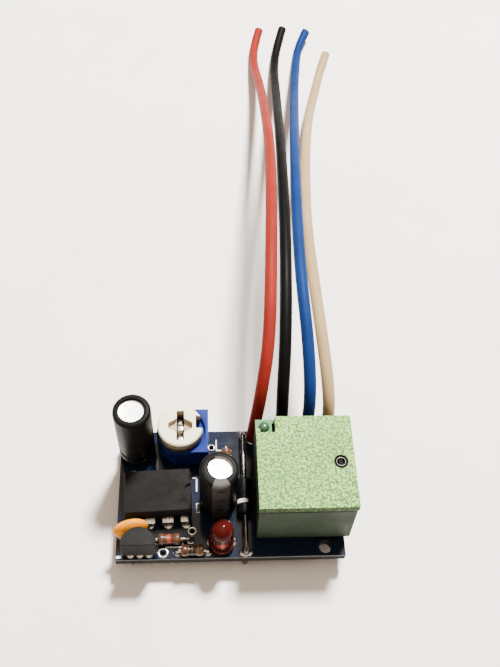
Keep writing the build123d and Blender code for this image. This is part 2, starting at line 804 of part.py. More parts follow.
def relay_switch(coil):
    """Armature, contact leaf and rivet, which tilt, and the terminals that they switch between."""
    coil_x, coil_y, leg_front, leg_back = coil
    ceiling, armature_top, armature_bottom, _ = relay_levels()
    contact_x = coil_x
    contact_y = relay_front_margin + relay_wall + contact_bay / 2
    half = armature_width / 2
    armature = block(coil_x - half, coil_x + half, coil_y - pole_radius - leaf_lead,
                     leg_back + armature_tail, armature_bottom, armature_top)
    leaf_top = armature_top + leaf_thickness
    leaf = block(contact_x - leaf_width / 2, contact_x + leaf_width / 2,
                 contact_y - contact_radius, coil_y + leaf_overlap, armature_top, leaf_top)
    rivet_bottom, rivet_top = armature_top - contact_head, leaf_top + contact_head
    rivet = rod(contact_x, contact_y, rivet_bottom, armature_top, contact_radius)
    rivet += rod(contact_x, contact_y, armature_top, leaf_top, contact_radius / 2)
    rivet += rod(contact_x, contact_y, leaf_top, rivet_top, contact_radius)
    leaf -= rod(contact_x, contact_y, armature_top, leaf_top, contact_radius / 2)

    closed_z = rivet_top + contact_gap
    open_z = rivet_bottom - contact_travel - contact_gap
    front = relay_front_margin + relay_wall + terminal_inset
    back = relay_front_margin + relay_wall + contact_bay
    left = relay_left + terminal_side_margin
    right = relay_left + relay_width - terminal_side_margin
    reach = contact_radius + terminal_inset
    fixed = [
        rod(contact_x, contact_y, closed_z, closed_z + fixed_contact_height, contact_radius),
        rod(contact_x, contact_y, open_z - fixed_contact_height, open_z, contact_radius),
    ]
    closed_plate = closed_z + fixed_contact_height
    open_plate = open_z - fixed_contact_height - terminal_thickness
    open_terminal = terminal((left, left + terminal_width), (left, contact_x + reach), (front, back),
                             open_plate, 0)
    closed_terminal = terminal((right - terminal_width, right), (contact_x - reach, right),
                               (front, back), closed_plate, tip_level(1))
    return armature, leaf, rivet, fixed, open_terminal, closed_terminal


def terminal(riser, plate, depth, level, tip):
    """A bent terminal: a pin through the board, an upright strip and a level plate."""
    front, back = depth
    strip = block(*riser, front, front + terminal_thickness, board_top + relay_foot, level)
    shelf = block(*plate, front, back, level, level + terminal_thickness)
    pin_x = sum(riser) / 2
    half = relay_pin_width / 2
    pin = block(pin_x - half, pin_x + half, front, front + terminal_thickness, tip,
                board_top + relay_foot)
    lead_hole(pin_x, front + terminal_thickness / 2, relay_pin_width, terminal_thickness)
    return strip + shelf + pin


def relay_pins(coil):
    """The common terminal below the yoke, and the two coil pins."""
    coil_x, coil_y, leg_front, leg_back = coil
    base_top = board_top + relay_foot + relay_base_thickness
    y = (leg_front + leg_back) / 2
    half, thick = relay_pin_width / 2, relay_pin_thickness / 2
    common = block(coil_x - half, coil_x + half, y - thick, y + thick, 0, base_top)
    lead_hole(coil_x, y, relay_pin_width, relay_pin_thickness)
    pins = []
    edge = relay_wall + coil_pin_side_margin
    for order, x in enumerate((relay_left + edge, relay_left + relay_width - edge)):
        pins.append(rod(x, coil_y, tip_level(order), base_top + coil_pin_rise,
                        coil_pin_diameter / 2))
        lead_hole(x, coil_y, coil_pin_diameter)
    return common, pins


# Where each wire leaves the board, along X
wire_holes = {"red": red_wire_x, "black": black_wire_x, "blue": blue_wire_x, "white": white_wire_x}

# Height of a wire's centre line where it lies on the table
wire_rest = wire_diameter / 2 + wire_clear_of_table

# The points that each wire follows after its hole, as (X, Y, Z), chosen by hand
wire_points = {
    "red": [
        (19.5, 17.95, 8.9), (20.2, 19.7, 14.2), (21.3, 25.2, 19.4), (21.9, 35.5, 22.2),
        (22.8, 50.5, 21.3), (23.7, 67.0, 17.0), (23.9, 83.0, 11.0), (23.9, 96.5, 5.3),
        (23.3, 107.5, 1.5), (23.6, 114.2, wire_rest), (24.9, 118.3, 2.3),
    ],
    "black": [
        (23.4, 17.95, 8.9), (23.3, 20.1, 14.0), (23.7, 26.0, 18.6), (24.2, 36.5, 21.2),
        (24.9, 51.5, 20.0), (25.7, 67.5, 15.6), (26.5, 83.0, 9.8), (27.2, 96.0, 4.6),
        (27.6, 106.5, 1.3), (28.6, 114.0, wire_rest), (30.1, 118.9, 2.3),
    ],
    "blue": [
        (27.2, 17.95, 8.8), (27.3, 20.2, 13.7), (27.0, 26.5, 17.9), (26.4, 37.0, 20.2),
        (27.0, 52.5, 18.9), (28.3, 69.0, 14.4), (29.8, 84.0, 8.6), (31.1, 96.8, 3.8),
        (32.5, 108.5, 1.1), (33.4, 114.4, wire_rest), (35.3, 118.2, 2.2),
    ],
    "white": [
        (30.2, 17.95, 8.5), (30.1, 20.4, 12.9), (29.4, 27.3, 16.0), (28.8, 38.0, 16.9),
        (28.9, 51.0, 14.9), (30.2, 66.0, 11.4), (31.9, 79.5, 7.4), (34.0, 91.5, 3.2),
        (36.4, 101.5, 1.1), (37.7, 107.0, wire_rest), (39.2, 111.3, 1.6),
    ],
}


def wire(name):
    """One wire's insulation as straight runs joined by arcs, and the direction of its cut end."""
    start = (wire_holes[name], wire_y, board_top + wire_strip_length)
    points = [Vector(*point) for point in [start, *wire_points[name]]]
    runs = [b - a for a, b in zip(points, points[1:])]
    radii = []
    for before, after in zip(runs, runs[1:]):
        turn = math.radians(before.get_angle(after))
        radii.append(bend_share * min(before.length, after.length) / math.tan(turn / 2))
    path = FilletPolyline(*points, radius=radii)
    solid = swept(path, wire_diameter / 2)
    section = math.pi * (wire_diameter / 2) ** 2
    print(name, "wire: length", round(path.length, 1), "volume over section",
          round(solid.volume / section, 1), "radii", [round(r, 1) for r in radii],
          "runs", [round(r.length, 1) for r in runs])
    return solid, path @ 1, path % 1


def wires():
    """The four free wires, their bared ends in the board and the strands at their cut ends."""
    nodes, cores, strands = {}, [], []
    for name, x in wire_holes.items():
        solid, end, along = wire(name)
        nodes[f"{name}_wire"] = [solid]
        cores.append(rod(x, wire_y, 0, board_top + wire_strip_length, wire_core_diameter / 2))
        lead_hole(x, wire_y, wire_core_diameter)
        stub = extrude(Plane(end, z_dir=along) * Circle(wire_core_diameter / 2), strand_length)
        strands.append(stub)
    nodes["wire_bared_ends"] = cores
    nodes["wire_end_strands"] = strands
    return nodes


def empty_holes():
    """Notes the three tinned holes that hold no lead."""
    places = [
        (last_pin_x + via_right_of_chip_pin, chip_pin_front - via_before_chip_pin),
        (transistor_right + via_right_of_transistor,
         transistor_front_margin + transistor_lead_from_front),
        (trimmer_right + via_right_of_trimmer, rotor_y - via_before_rotor),
    ]
    width = 2 * (via_hole_radius - hole_clearance)
    for x, y in places:
        lead_hole(x, y, width, margin=via_margin, empty=True)


def under_relay(lead):
    """Whether a lead's upper ring would lie below the relay, where its feet stand."""
    return lead.x > relay_left and lead.y < relay_back


def circuit_board():
    """The board, the tinned rings on its top and the solder round each lead below."""
    board = block(0, board_length, 0, board_width, board_underside, board_top)
    hole_x = board_length - mounting_hole_from_right
    drilled = [rod(lead.x, lead.y, board_underside, board_top, lead.hole) for lead in leads]
    drilled.append(rod(hole_x, mounting_hole_from_front, board_underside, board_top,
                       mounting_hole_radius))
    board -= drilled
    ring_top = board_top + pad_ring_thickness
    rings = [tube(lead.x, lead.y, board_top, ring_top, lead.pad, lead.hole)
             for lead in leads if not under_relay(lead)]
    copper_bottom = board_underside - copper_thickness
    middle = copper_bottom - solder_height / 2
    solder = []
    for lead in [one for one in leads if not one.empty]:
        cone = Cone(lead.hole - hole_clearance + solder_collar, lead.pad - solder_collar,
                    solder_height)
        solder.append(Pos(lead.x, lead.y, middle) * cone
                      - lead.section(copper_bottom - solder_height, copper_bottom))
    return board, rings, solder


def tracks():
    """Copper pads and tracks below the board, each track an elbow of two straight strips."""
    z0, z1 = board_underside - copper_thickness, board_underside
    half = track_width / 2
    half_pitch = resistor_length / 2 + resistor_reach
    row_x = [chip_x + (pin - (chip_pins_per_row - 1) / 2) * chip_pin_pitch
             for pin in range(chip_pins_per_row)]
    links = [
        ((row_x[0], chip_pin_front), (ceramic_centre_x - ceramic_pitch / 2, ceramic_y)),
        ((row_x[1], chip_pin_back), (row_x[2], chip_pin_back)),
        ((row_x[3], chip_pin_back), (supply_capacitor_x - electrolytic_pitch / 2, supply_capacitor_y)),
        ((timing_capacitor_x + electrolytic_pitch / 2, timing_capacitor_y), (row_x[1], chip_pin_back)),
        ((led_resistor_x - half_pitch, led_resistor_y), (row_x[2], chip_pin_front)),
        ((led_resistor_x + half_pitch, led_resistor_y), (led_x - led_pitch / 2, led_y)),
        ((diode_x, diode_front_hole), (led_x + led_pitch / 2, led_y)),
        ((diode_x, diode_back_hole), (red_wire_x, wire_y)),
    ]
    copper = [rod(lead.x, lead.y, z0, z1, lead.pad) for lead in leads]
    for (xa, ya), (xb, yb) in links:
        copper.append(block(min(xa, xb) - half, max(xa, xb) + half, ya - half, ya + half, z0, z1))
        copper.append(block(xb - half, xb + half, min(ya, yb) - half, max(ya, yb) + half, z0, z1))
    outline = block(0, board_length, 0, board_width, z0, z1)
    total = (copper[0] + copper[1:]) & outline
    return total - [rod(lead.x, lead.y, z0, z1, lead.hole) for lead in leads]


def corner_mark(x, y, right, back):
    """Two printed lines from a corner: one runs along X, the other along Y. A minus turns one round."""
    z1 = board_top + silk_thickness
    side = block(*sorted((x, x + right)), y, y + silk_line, board_top, z1)
    return side + block(x, x + silk_line, *sorted((y, y + back)), board_top, z1)


def silkscreen():
    """White outline marks on the board's top face, with no lettering."""
    z1 = board_top + silk_thickness
    chip_pad = math.hypot(chip_lead_narrow, chip_lead_thickness) / 2 + hole_clearance + chip_pad_margin
    edge = max(chip_right, last_pin_x + chip_pad) + supply_capacitor_gap / 2
    chip_back = chip_y + chip_width / 2 - silk_line
    back_mark = corner_mark(edge, chip_back, -mark_hook, chip_y + chip_mark_back_start - chip_back)
    front, back = chip_y - chip_bracket_front, chip_y - chip_bracket_back
    bracket = corner_mark(edge, front, mark_hook, back - front)
    bracket += corner_mark(edge, back, mark_hook, front - back)
    end_x = feed_resistor_x + resistor_length / 2 + resistor_mark_gap
    front = feed_resistor_y - resistor_radius - resistor_mark_gap
    resistor_mark = corner_mark(end_x, front, -resistor_mark_length, resistor_mark_rise)
    trimmer_mark = corner_mark(trimmer_right + trimmer_mark_gap, rotor_y - trimmer_mark_front,
                               trimmer_mark_length, trimmer_mark_rise)
    corner = block(corner_mark_left, corner_mark_left + corner_mark_length, corner_mark_front,
                   corner_mark_front + corner_mark_width, board_top, z1)
    return [back_mark, bracket, resistor_mark, trimmer_mark, corner]


def save(name, solids):
    """Writes one named piece, moved to the part's own origin."""
    place = Location((-origin_x, -origin_y, 0))
    solids = [one for solid in solids for one in solid.solids()]
    moved = [solid.moved(place) for solid in solids]
    shape = moved[0] if len(moved) == 1 else Compound(children=moved)
    export_step(shape, f"parts/{name}.step")


def main():
    """Builds every piece and writes each to its own file."""
    os.makedirs("parts", exist_ok=True)
    nodes = {}
    body, chip_leads, die = timer_chip()
    nodes |= {"timer_chip_body": [body], "timer_chip_leads": chip_leads, "timer_chip_die": [die]}
    body, legs = transistor()
    nodes |= {"transistor_body": [body], "transistor_leads": legs}
    coating, disc, legs = ceramic_capacitor()
    nodes |= {"ceramic_capacitor_coating": [coating], "ceramic_capacitor_disc": [disc],
              "ceramic_capacitor_leads": legs}
    for name, place in {
        "timing_capacitor": (timing_capacitor_x, timing_capacitor_y, timing_capacitor_lift),
        "supply_capacitor": (supply_capacitor_x, supply_capacitor_y, supply_capacitor_lift),
    }.items():
        for piece, solids in electrolytic(*place).items():
            nodes[f"{name}_{piece}"] = solids
    for name, (body, pair) in {
        "feed_resistor": resistor(feed_resistor_x, feed_resistor_y,
                                  back_reach=feed_resistor_right_reach),
        "led_resistor": resistor(led_resistor_x, led_resistor_y),
        "base_resistor": resistor(base_resistor_x, base_resistor_y, turn=90),
    }.items():
        nodes |= {f"{name}_body": [body], f"{name}_leads": pair}
    lens, posts, die = led()
    nodes |= {"led_lens": [lens], "led_leads": posts, "led_die": [die]}
    body, pair = diode()
    nodes |= {"diode_body": [body], "diode_leads": pair}
    base, ring, rotor, wiper, pins = trimmer()
    nodes |= {"trimmer_base": [base], "trimmer_track": [ring], "trimmer_rotor": [rotor],
              "trimmer_wiper": [wiper], "trimmer_pins": pins}

    base, yoke, core, bobbin, winding, coil = relay_motor()
    armature, leaf, rivet, fixed, open_terminal, closed_terminal = relay_switch(coil)
    common, coil_pins = relay_pins(coil)
    for pin in [open_terminal, closed_terminal, common, *coil_pins]:
        base -= pin
    nodes |= {"relay_cover": [relay_cover()], "relay_base": [base], "relay_yoke": [yoke],
              "relay_core": [core], "relay_bobbin": [bobbin], "relay_winding": [winding],
              "relay_armature": [armature], "relay_contact_leaf": [leaf],
              "relay_moving_contact": [rivet], "relay_fixed_contacts": fixed,
              "relay_open_terminal": [open_terminal], "relay_closed_terminal": [closed_terminal],
              "relay_common_terminal": [common], "relay_coil_pins": coil_pins}
    nodes |= wires()

    empty_holes()
    board, rings, solder = circuit_board()
    nodes |= {"circuit_board": [board], "copper_tracks": [tracks()], "pad_rings": rings,
              "solder_joints": solder, "silkscreen_marks": silkscreen()}

    for name, solids in nodes.items():
        save(name, solids)
    hinge_y = (coil[2] + coil[3]) / 2
    _, _, armature_bottom, _ = relay_levels()
    print("nodes", len(nodes))
    print("trimmer axis", rotor_x - origin_x, rotor_y - origin_y, "top of base",
          board_top + trimmer_base_height)
    print("armature hinge", coil[0] - origin_x, hinge_y - origin_y, armature_bottom - hinge_gap)
    print("mounting hole", board_length - mounting_hole_from_right - origin_x,
          mounting_hole_from_front - origin_y, board_underside, board_top)
    print("board", board_length, board_width, "origin", origin_x, origin_y)


main()
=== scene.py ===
"""Looks of the time delay relay: hand-shaped pieces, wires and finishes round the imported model.

Lengths are millimetres in the part's own frame, +Z up, with the lead tips on Z = 0. A piece is
shaped at that scale and becomes metres when it is delivered.
"""
import logging
import math
from collections.abc import Callable, Iterator, Sequence
from contextlib import contextmanager
from dataclasses import dataclass
from enum import Enum

import bmesh
import bpy
from mathutils import Matrix, Vector


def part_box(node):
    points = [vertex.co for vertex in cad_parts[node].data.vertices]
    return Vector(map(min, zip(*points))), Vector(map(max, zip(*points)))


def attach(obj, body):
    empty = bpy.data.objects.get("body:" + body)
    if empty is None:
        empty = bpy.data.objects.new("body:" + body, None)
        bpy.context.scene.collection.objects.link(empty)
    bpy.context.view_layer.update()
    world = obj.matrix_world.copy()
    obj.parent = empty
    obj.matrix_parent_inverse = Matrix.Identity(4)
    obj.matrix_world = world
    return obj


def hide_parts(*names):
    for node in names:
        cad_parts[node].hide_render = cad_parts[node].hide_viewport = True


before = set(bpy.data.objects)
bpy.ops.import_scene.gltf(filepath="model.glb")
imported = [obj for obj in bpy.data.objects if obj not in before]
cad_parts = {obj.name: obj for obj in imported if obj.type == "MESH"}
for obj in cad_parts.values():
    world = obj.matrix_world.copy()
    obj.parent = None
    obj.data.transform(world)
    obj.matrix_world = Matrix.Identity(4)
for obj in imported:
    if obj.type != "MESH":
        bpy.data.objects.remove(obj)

log = logging.getLogger("relay")

Point = tuple[float, float, float]
Colour = tuple[float, float, float]
Outline = tuple[tuple[float, float], ...]
Piece = bpy.types.Object
Socket = bpy.types.NodeSocket

MM = 0.001
FULL_TURN = 2 * math.pi
MERGE = 0.0005
BOARD_UNDERSIDE = 2.4
BOARD_TOP = 4.0
LEAD_EDGE = 0.05

# How far a cutter reaches past the piece that it cuts
PAST = 1.0


class Body(Enum):
    """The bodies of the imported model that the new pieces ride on."""

    ROOT = "root"
    ROTOR = "rotor"


class Along(Enum):
    """The axis that a long piece lies along."""

    X = 0
    Y = 1


@dataclass(frozen=True)
class Extent:
    """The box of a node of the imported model, or of one of its solids, in millimetres."""

    low: Vector
    high: Vector

    @classmethod
    def of(cls, node: str) -> "Extent":
        """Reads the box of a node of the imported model.

        Args:
            node: The node's name.

        Returns:
            Its box at rest.
        """
        low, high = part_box(node)
        return cls(low / MM, high / MM)

    @property
    def middle(self) -> Vector:
        """The box's centre."""
        return (self.low + self.high) / 2

    @property
    def foot(self) -> Vector:
        """The centre of the box's lower side."""
        return Vector((*self.middle.to_2d(), self.low.z))

    @property
    def size(self) -> Vector:
        """The box's lengths along the three axes."""
        return self.high - self.low


# Ways to shape a piece


def choose(piece: Piece) -> None:
    """Makes one object the only selected and the active one."""
    bpy.ops.object.select_all(action="DESELECT")
    piece.select_set(True)
    bpy.context.view_layer.objects.active = piece


@contextmanager
def editing(piece: Piece, mode: str = "VERT") -> Iterator[None]:
    """Opens a piece in edit mode with nothing selected, and closes it again.

    Args:
        piece: The piece to shape.
        mode: What is selected there: VERT, EDGE or FACE.
    """
    choose(piece)
    bpy.ops.object.mode_set(mode="EDIT")
    bpy.ops.mesh.select_mode(type=mode)
    bpy.ops.mesh.select_all(action="DESELECT")
    yield
    bpy.ops.object.mode_set(mode="OBJECT")


def pick(piece: Piece, wanted: Callable[[bmesh.types.BMVert], bool]) -> None:
    """Selects the vertices of a piece in edit mode that a test wants, and nothing else.

    Args:
        piece: The piece in edit mode.
        wanted: Says of a vertex whether it is selected.
    """
    bpy.ops.mesh.select_all(action="DESELECT")
    mesh = bmesh.from_edit_mesh(piece.data)
    for vertex in mesh.verts:
        if wanted(vertex):
            vertex.select_set(True)
    mesh.select_flush(True)
    bmesh.update_edit_mesh(piece.data)


def shift(piece: Piece, wanted: Callable[[bmesh.types.BMVert], bool], move: Sequence[float]) -> None:
    """Moves the vertices of a piece in edit mode that a test wants.

    Args:
        piece: The piece in edit mode.
        wanted: Says of a vertex whether it moves.
        move: How far they move.
    """
    pick(piece, wanted)
    bpy.ops.transform.translate(value=move)


def select_all() -> None:
    """Selects the whole mesh in edit mode."""
    bpy.ops.mesh.select_all(action="SELECT")


def extrude(step: Sequence[float]) -> None:
    """Draws what is selected in edit mode out by a step."""
    bpy.ops.mesh.extrude_region_move(TRANSFORM_OT_translate={"value": step})


def linked(name: str, data: bpy.types.ID) -> Piece:
    """Puts a new object with a mesh, a curve, a light or a camera in the scene."""
    made = bpy.data.objects.new(name, data)
    bpy.context.collection.objects.link(made)
    return made


def named(name: str) -> Piece:
    """Gives the object that an operator has just added its name."""
    piece = bpy.context.active_object
    piece.name = name
    piece.data.name = name
    return piece


def settled(piece: Piece) -> Piece:
    """Moves an object's place, turn and scale into its mesh."""
    choose(piece)
    bpy.ops.object.transform_apply(location=True, rotation=True, scale=True)
    return piece


def placed(piece: Piece, place: Sequence[float],
           turn: Sequence[float] = (0, 0, 0)) -> Piece:
    """Turns a piece about the origin, moves it and applies both.

    Args:
        piece: The piece, still at the origin.
        place: Where its origin goes.
        turn: Angles about X, Y and Z in degrees.

    Returns:
        The same piece.
    """
    piece.location = place
    piece.rotation_euler = [math.radians(angle) for angle in turn]
    return settled(piece)


def block(name: str, low: Sequence[float], high: Sequence[float]) -> Piece:
    """A box between two corners, as a start for a piece or as a cutter.

    Args:
        name: Name of the new object.
        low: Lowest corner.
        high: Highest corner.

    Returns:
        The box.
    """
    corners = Vector(low), Vector(high)
    bpy.ops.mesh.primitive_cube_add(size=1, location=(corners[0] + corners[1]) / 2,
                                    scale=corners[1] - corners[0])
    return settled(named(name))


def drum(name: str, place: Sequence[float], radius: float, height: float,
         segments: int = 64) -> Piece:
    """An upright cylinder that stands on a point.

    Args:
        name: Name of the new object.
        place: Centre of its lower end.
        radius: Its radius.
        height: Its height.
        segments: Faces round it.

    Returns:
        The cylinder.
    """
    x, y, z = place
    bpy.ops.mesh.primitive_cylinder_add(vertices=segments, radius=radius, depth=height,
                                        location=(x, y, z + height / 2))
    return settled(named(name))


def arc(middle: tuple[float, float], radius: float, start: float, end: float,
        steps: int) -> list[tuple[float, float]]:
    """Points on an arc of an outline.

    Args:
        middle: Centre of the arc.
        radius: Its radius.
        start: First angle in degrees, from the first axis towards the second.
        end: Last angle in degrees.
        steps: Number of spans.

    Returns:
        The points, both ends among them.
    """
    angles = [math.radians(start + (end - start) * step / steps) for step in range(steps + 1)]
    return [(middle[0] + radius * math.cos(a), middle[1] + radius * math.sin(a)) for a in angles]


def turned(name: str, outline: Sequence[tuple[float, float]], segments: int = 64,
           closed: bool = False) -> Piece:
    """Turns a half outline about the Z axis, as on a lathe.

    Args:
        name: Name of the new piece.
        outline: Points as (radius, height). A radius of 0 at an end closes the piece there.
        segments: Faces round the axis.
        closed: Whether the outline runs back to its first point.

    Returns:
        The piece, about the Z axis.
    """
    points = list(outline)
    pole = points.pop(0)[1] if points[0][0] == 0 else None
    if closed:
        points.append(points[0])
    radius, height = points[0]
    bpy.ops.mesh.primitive_circle_add(vertices=segments, radius=radius, location=(0, 0, height))
    piece = settled(named(name))
    with editing(piece):
        select_all()
        for next_radius, next_height in points[1:]:
            extrude((0, 0, next_height - height))
            if next_radius == 0:
                bpy.ops.mesh.merge(type="CENTER")
            else:
                share = next_radius / radius
                bpy.ops.transform.resize(value=(share, share, 1), center_override=(0, 0, next_height))
            radius, height = next_radius, next_height
        if pole is not None:
            pick(piece, lambda vertex: vertex.index < segments)
            extrude((0, 0, pole - points[0][1]))
            bpy.ops.mesh.merge(type="CENTER")
        select_all()
        bpy.ops.mesh.remove_doubles(threshold=MERGE)
        bpy.ops.mesh.normals_make_consistent(inside=False)
    return piece


def modified(piece: Piece, kind: str, **settings: object) -> Piece:
    """Adds a modifier to a piece and applies it.

    Args:
        piece: The piece to change.
        kind: The modifier's type.
        **settings: Its settings.

    Returns:
        The same piece.
    """
    modifier = piece.modifiers.new(kind.title(), kind)
    for key, value in settings.items():
        setattr(modifier, key, value)
    choose(piece)
    bpy.ops.object.modifier_apply(modifier=modifier.name)
    return piece


def combined(piece: Piece, operation: str, *tools: Piece) -> Piece:
    """Cuts tools out of a piece, or unites them with it, and removes them.

    Args:
        piece: The piece that stays.
        operation: DIFFERENCE, UNION or INTERSECT.
        *tools: The objects that go into it.

    Returns:
        The same piece.
    """
    for tool in tools:
        modified(piece, "BOOLEAN", object=tool, operation=operation, solver="EXACT")
        bpy.data.objects.remove(tool)
    return piece


def softened(piece: Piece, width: float, segments: int = 3,
             angle: float = 30) -> Piece:
    """Rounds a piece's edges and shades it smooth between them.

    Args:
        piece: The piece.
        width: How far each rounding reaches.
        segments: Faces across a rounding.
        angle: Edges sharper than this, in degrees, are rounded.

    Returns:
        The same piece.
    """
    modified(piece, "BEVEL", width=width, segments=segments, limit_method="ANGLE",
             angle_limit=math.radians(angle), use_clamp_overlap=True)
    return smooth(piece)


def smooth(piece: Piece, angle: float = 35) -> Piece:
    """Shades a piece smooth except over edges sharper than an angle in degrees."""
    choose(piece)
    bpy.ops.object.shade_smooth_by_angle(angle=math.radians(angle))
    return piece


def joined(name: str, pieces: Sequence[Piece]) -> Piece:
    """Makes several objects one.

    Args:
        name: Name of the result.
        pieces: The objects to join.

    Returns:
        The joined object.
    """
    choose(pieces[0])
    for piece in pieces:
        piece.select_set(True)
    bpy.ops.object.join()
    return named(name)


def nudged(piece: Piece, above: float, move: Sequence[float], turn: float = 0.0,
           centre: Sequence[float] = (0, 0, 0), behind: float = -99.0) -> Piece:
    """Turns the part of a piece above a height about an upright line, and moves it.

    Args:
        piece: The piece.
        above: The height, in millimetres.
        move: How far it moves.
        turn: Its turn in degrees, anticlockwise from above.
        centre: A point of the line that it turns about.
        behind: Only what lies beyond this place along Y moves.

    Returns:
        The same piece.
    """
    with editing(piece):
        pick(piece, lambda vertex: vertex.co.z > above and vertex.co.y > behind)
        bpy.ops.transform.rotate(value=-math.radians(turn), orient_axis="Z", center_override=centre)
        bpy.ops.transform.translate(value=move)
    return piece


def twin(piece: Piece) -> Piece:
    """A copy of a piece with a mesh of its own."""
    choose(piece)
    bpy.ops.object.duplicate(linked=False)
    return bpy.context.active_object


def recast(node: str, name: str, width: float = 0.0, segments: int = 2) -> Piece:
    """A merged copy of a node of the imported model, whose edges can then be rounded.

    Args:
        node: The node to copy.
        name: Name of the new piece.
        width: How far each rounding reaches, or 0 to leave the edges sharp.
        segments: Faces across a rounding.

    Returns:
        The copy, in millimetres.
    """
    piece = linked(name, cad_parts[node].data.copy())
    piece.scale = (1 / MM, 1 / MM, 1 / MM)
    settled(piece)
    piece.data.materials.clear()
    bpy.ops.mesh.customdata_custom_splitnormals_clear()
    with editing(piece, "FACE"):
        select_all()
        bpy.ops.mesh.remove_doubles(threshold=MERGE)
        bpy.ops.mesh.dissolve_limited(angle_limit=math.radians(1))
    return softened(piece, width, segments) if width else smooth(piece)


def solids_of(node: str) -> list[tuple[Extent, float]]:
    """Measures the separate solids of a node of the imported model.

    Args:
        node: The node's name.

    Returns:
        Each solid's box, and its least radius about the upright line through its middle.
    """
    piece = recast(node, "measured")
    with editing(piece):
        select_all()
        bpy.ops.mesh.separate(type="LOOSE")
    found = []
    for part in list(bpy.context.selected_objects):
        corners = [vertex.co for vertex in part.data.vertices]
        extent = Extent(Vector([min(c[i] for c in corners) for i in range(3)]),
                        Vector([max(c[i] for c in corners) for i in range(3)]))
        middle = extent.middle
        found.append((extent, min((c - middle).to_2d().length for c in corners)))
        bpy.data.objects.remove(part)
    return sorted(found, key=lambda one: tuple(one[0].low))


# Ways to build a finish


def tone(red: int, green: int, blue: int) -> Colour:
    """A colour as light, from its red, green and blue on a screen, each 0 to 255."""
    shares = [value / 255 for value in (red, green, blue)]
    return tuple(s / 12.92 if s <= 0.04045 else ((s + 0.055) / 1.055) ** 2.4 for s in shares)


class Graph:
    """Short ways to add and join the nodes of a material or of a shader node group."""

    def __init__(self, tree: bpy.types.NodeTree) -> None:
        """Starts on a node tree.

        Args:
            tree: The tree to build in.
        """
        self.tree = tree

    def add(self, kind: str, **settings: object) -> bpy.types.Node:
        """Adds a node.

        Args:
            kind: The node's type, without its first word.
            **settings: Its settings.

        Returns:
            The node.
        """
        node = self.tree.nodes.new("ShaderNode" + kind)
        for key, value in settings.items():
            setattr(node, key, value)
        return node

    def feed(self, socket: Socket, value: object) -> None:
        """Links a socket to another one, or gives it a number, a vector or a colour.

        Args:
            socket: The input.
            value: The output that feeds it, or what it is set to.
        """
        if isinstance(value, Socket):
            self.tree.links.new(value, socket)
        elif socket.type == "RGBA":
            socket.default_value = (*value, 1)
        else:
            socket.default_value = value

    def math(self, operation: str, first: object, second: object = 0.0) -> Socket:
        """The result of one sum on two values."""
        node = self.add("Math", operation=operation)
        self.feed(node.inputs[0], first)
        self.feed(node.inputs[1], second)
        return node.outputs[0]

    def mix(self, share: object, first: object, second: object,
            blend: str = "MIX") -> Socket:
        """A blend of two colours.

        Args:
            share: How much of the second shows, 0 to 1.
            first: The first colour.
            second: The second colour.
            blend: How they mix.

        Returns:
            The mixed colour.
        """
        node = self.add("Mix", data_type="RGBA", blend_type=blend)
        self.feed(node.inputs["Factor"], share)
        self.feed(node.inputs[6], first)
        self.feed(node.inputs[7], second)
        return node.outputs[2]

    def split(self, vector: Socket) -> Sequence[Socket]:
        """The three numbers of a vector."""
        node = self.add("SeparateXYZ")
        self.feed(node.inputs[0], vector)
        return node.outputs

    def stretch(self, vector: Socket, shares: Point) -> Socket:
        """A vector, longer or shorter by a share along each axis."""
        node = self.add("VectorMath", operation="MULTIPLY")
        self.feed(node.inputs[0], vector)
        self.feed(node.inputs[1], shares)
        return node.outputs[0]

    def length(self, vector: Socket) -> Socket:
        """How long a vector is."""
        node = self.add("VectorMath", operation="LENGTH")
        self.feed(node.inputs[0], vector)
        return node.outputs["Value"]

    def cells(self, where: object, scale: object, **settings: object) -> bpy.types.Node:
        """Random cells of that many a millimetre, as a node.

        Args:
            where: The place on the object.
            scale: How many cells fit in a millimetre.
            **settings: Further settings of the node.

        Returns:
            The node, whose outputs give a cell's distance and its colour.
        """
        node = self.add("TexVoronoi", **settings)
        self.feed(node.inputs["Vector"], where)
        self.feed(node.inputs["Scale"], scale)
        return node

    def span(self, value: object, low: float, high: float, start: float = 0.0,
             end: float = 1.0) -> Socket:
        """Runs smoothly from start to end while a value runs from low to high."""
        node = self.add("MapRange", interpolation_type="SMOOTHSTEP")
        for socket, number in zip(node.inputs[0:5], (value, low, high, start, end)):
            self.feed(socket, number)
        return node.outputs[0]

    def noise(self, where: object, scale: object, detail: float = 2.0,
              rough: float = 0.5) -> Socket:
        """A soft random value of that many lumps a millimetre."""
        node = self.add("TexNoise")
        for name, value in {"Vector": where, "Scale": scale, "Detail": detail,
                            "Roughness": rough}.items():
            self.feed(node.inputs[name], value)
        return node.outputs["Fac"]

    def group(self, tree: bpy.types.NodeTree, **values: object) -> bpy.types.Node:
        """Places a node group and feeds its inputs.

        Args:
            tree: The group.
            **values: What its inputs get, by name.

        Returns:
            The group's node.
        """
        node = self.add("Group", node_tree=tree)
        for name, value in values.items():
            self.feed(node.inputs[name], value)
        return node


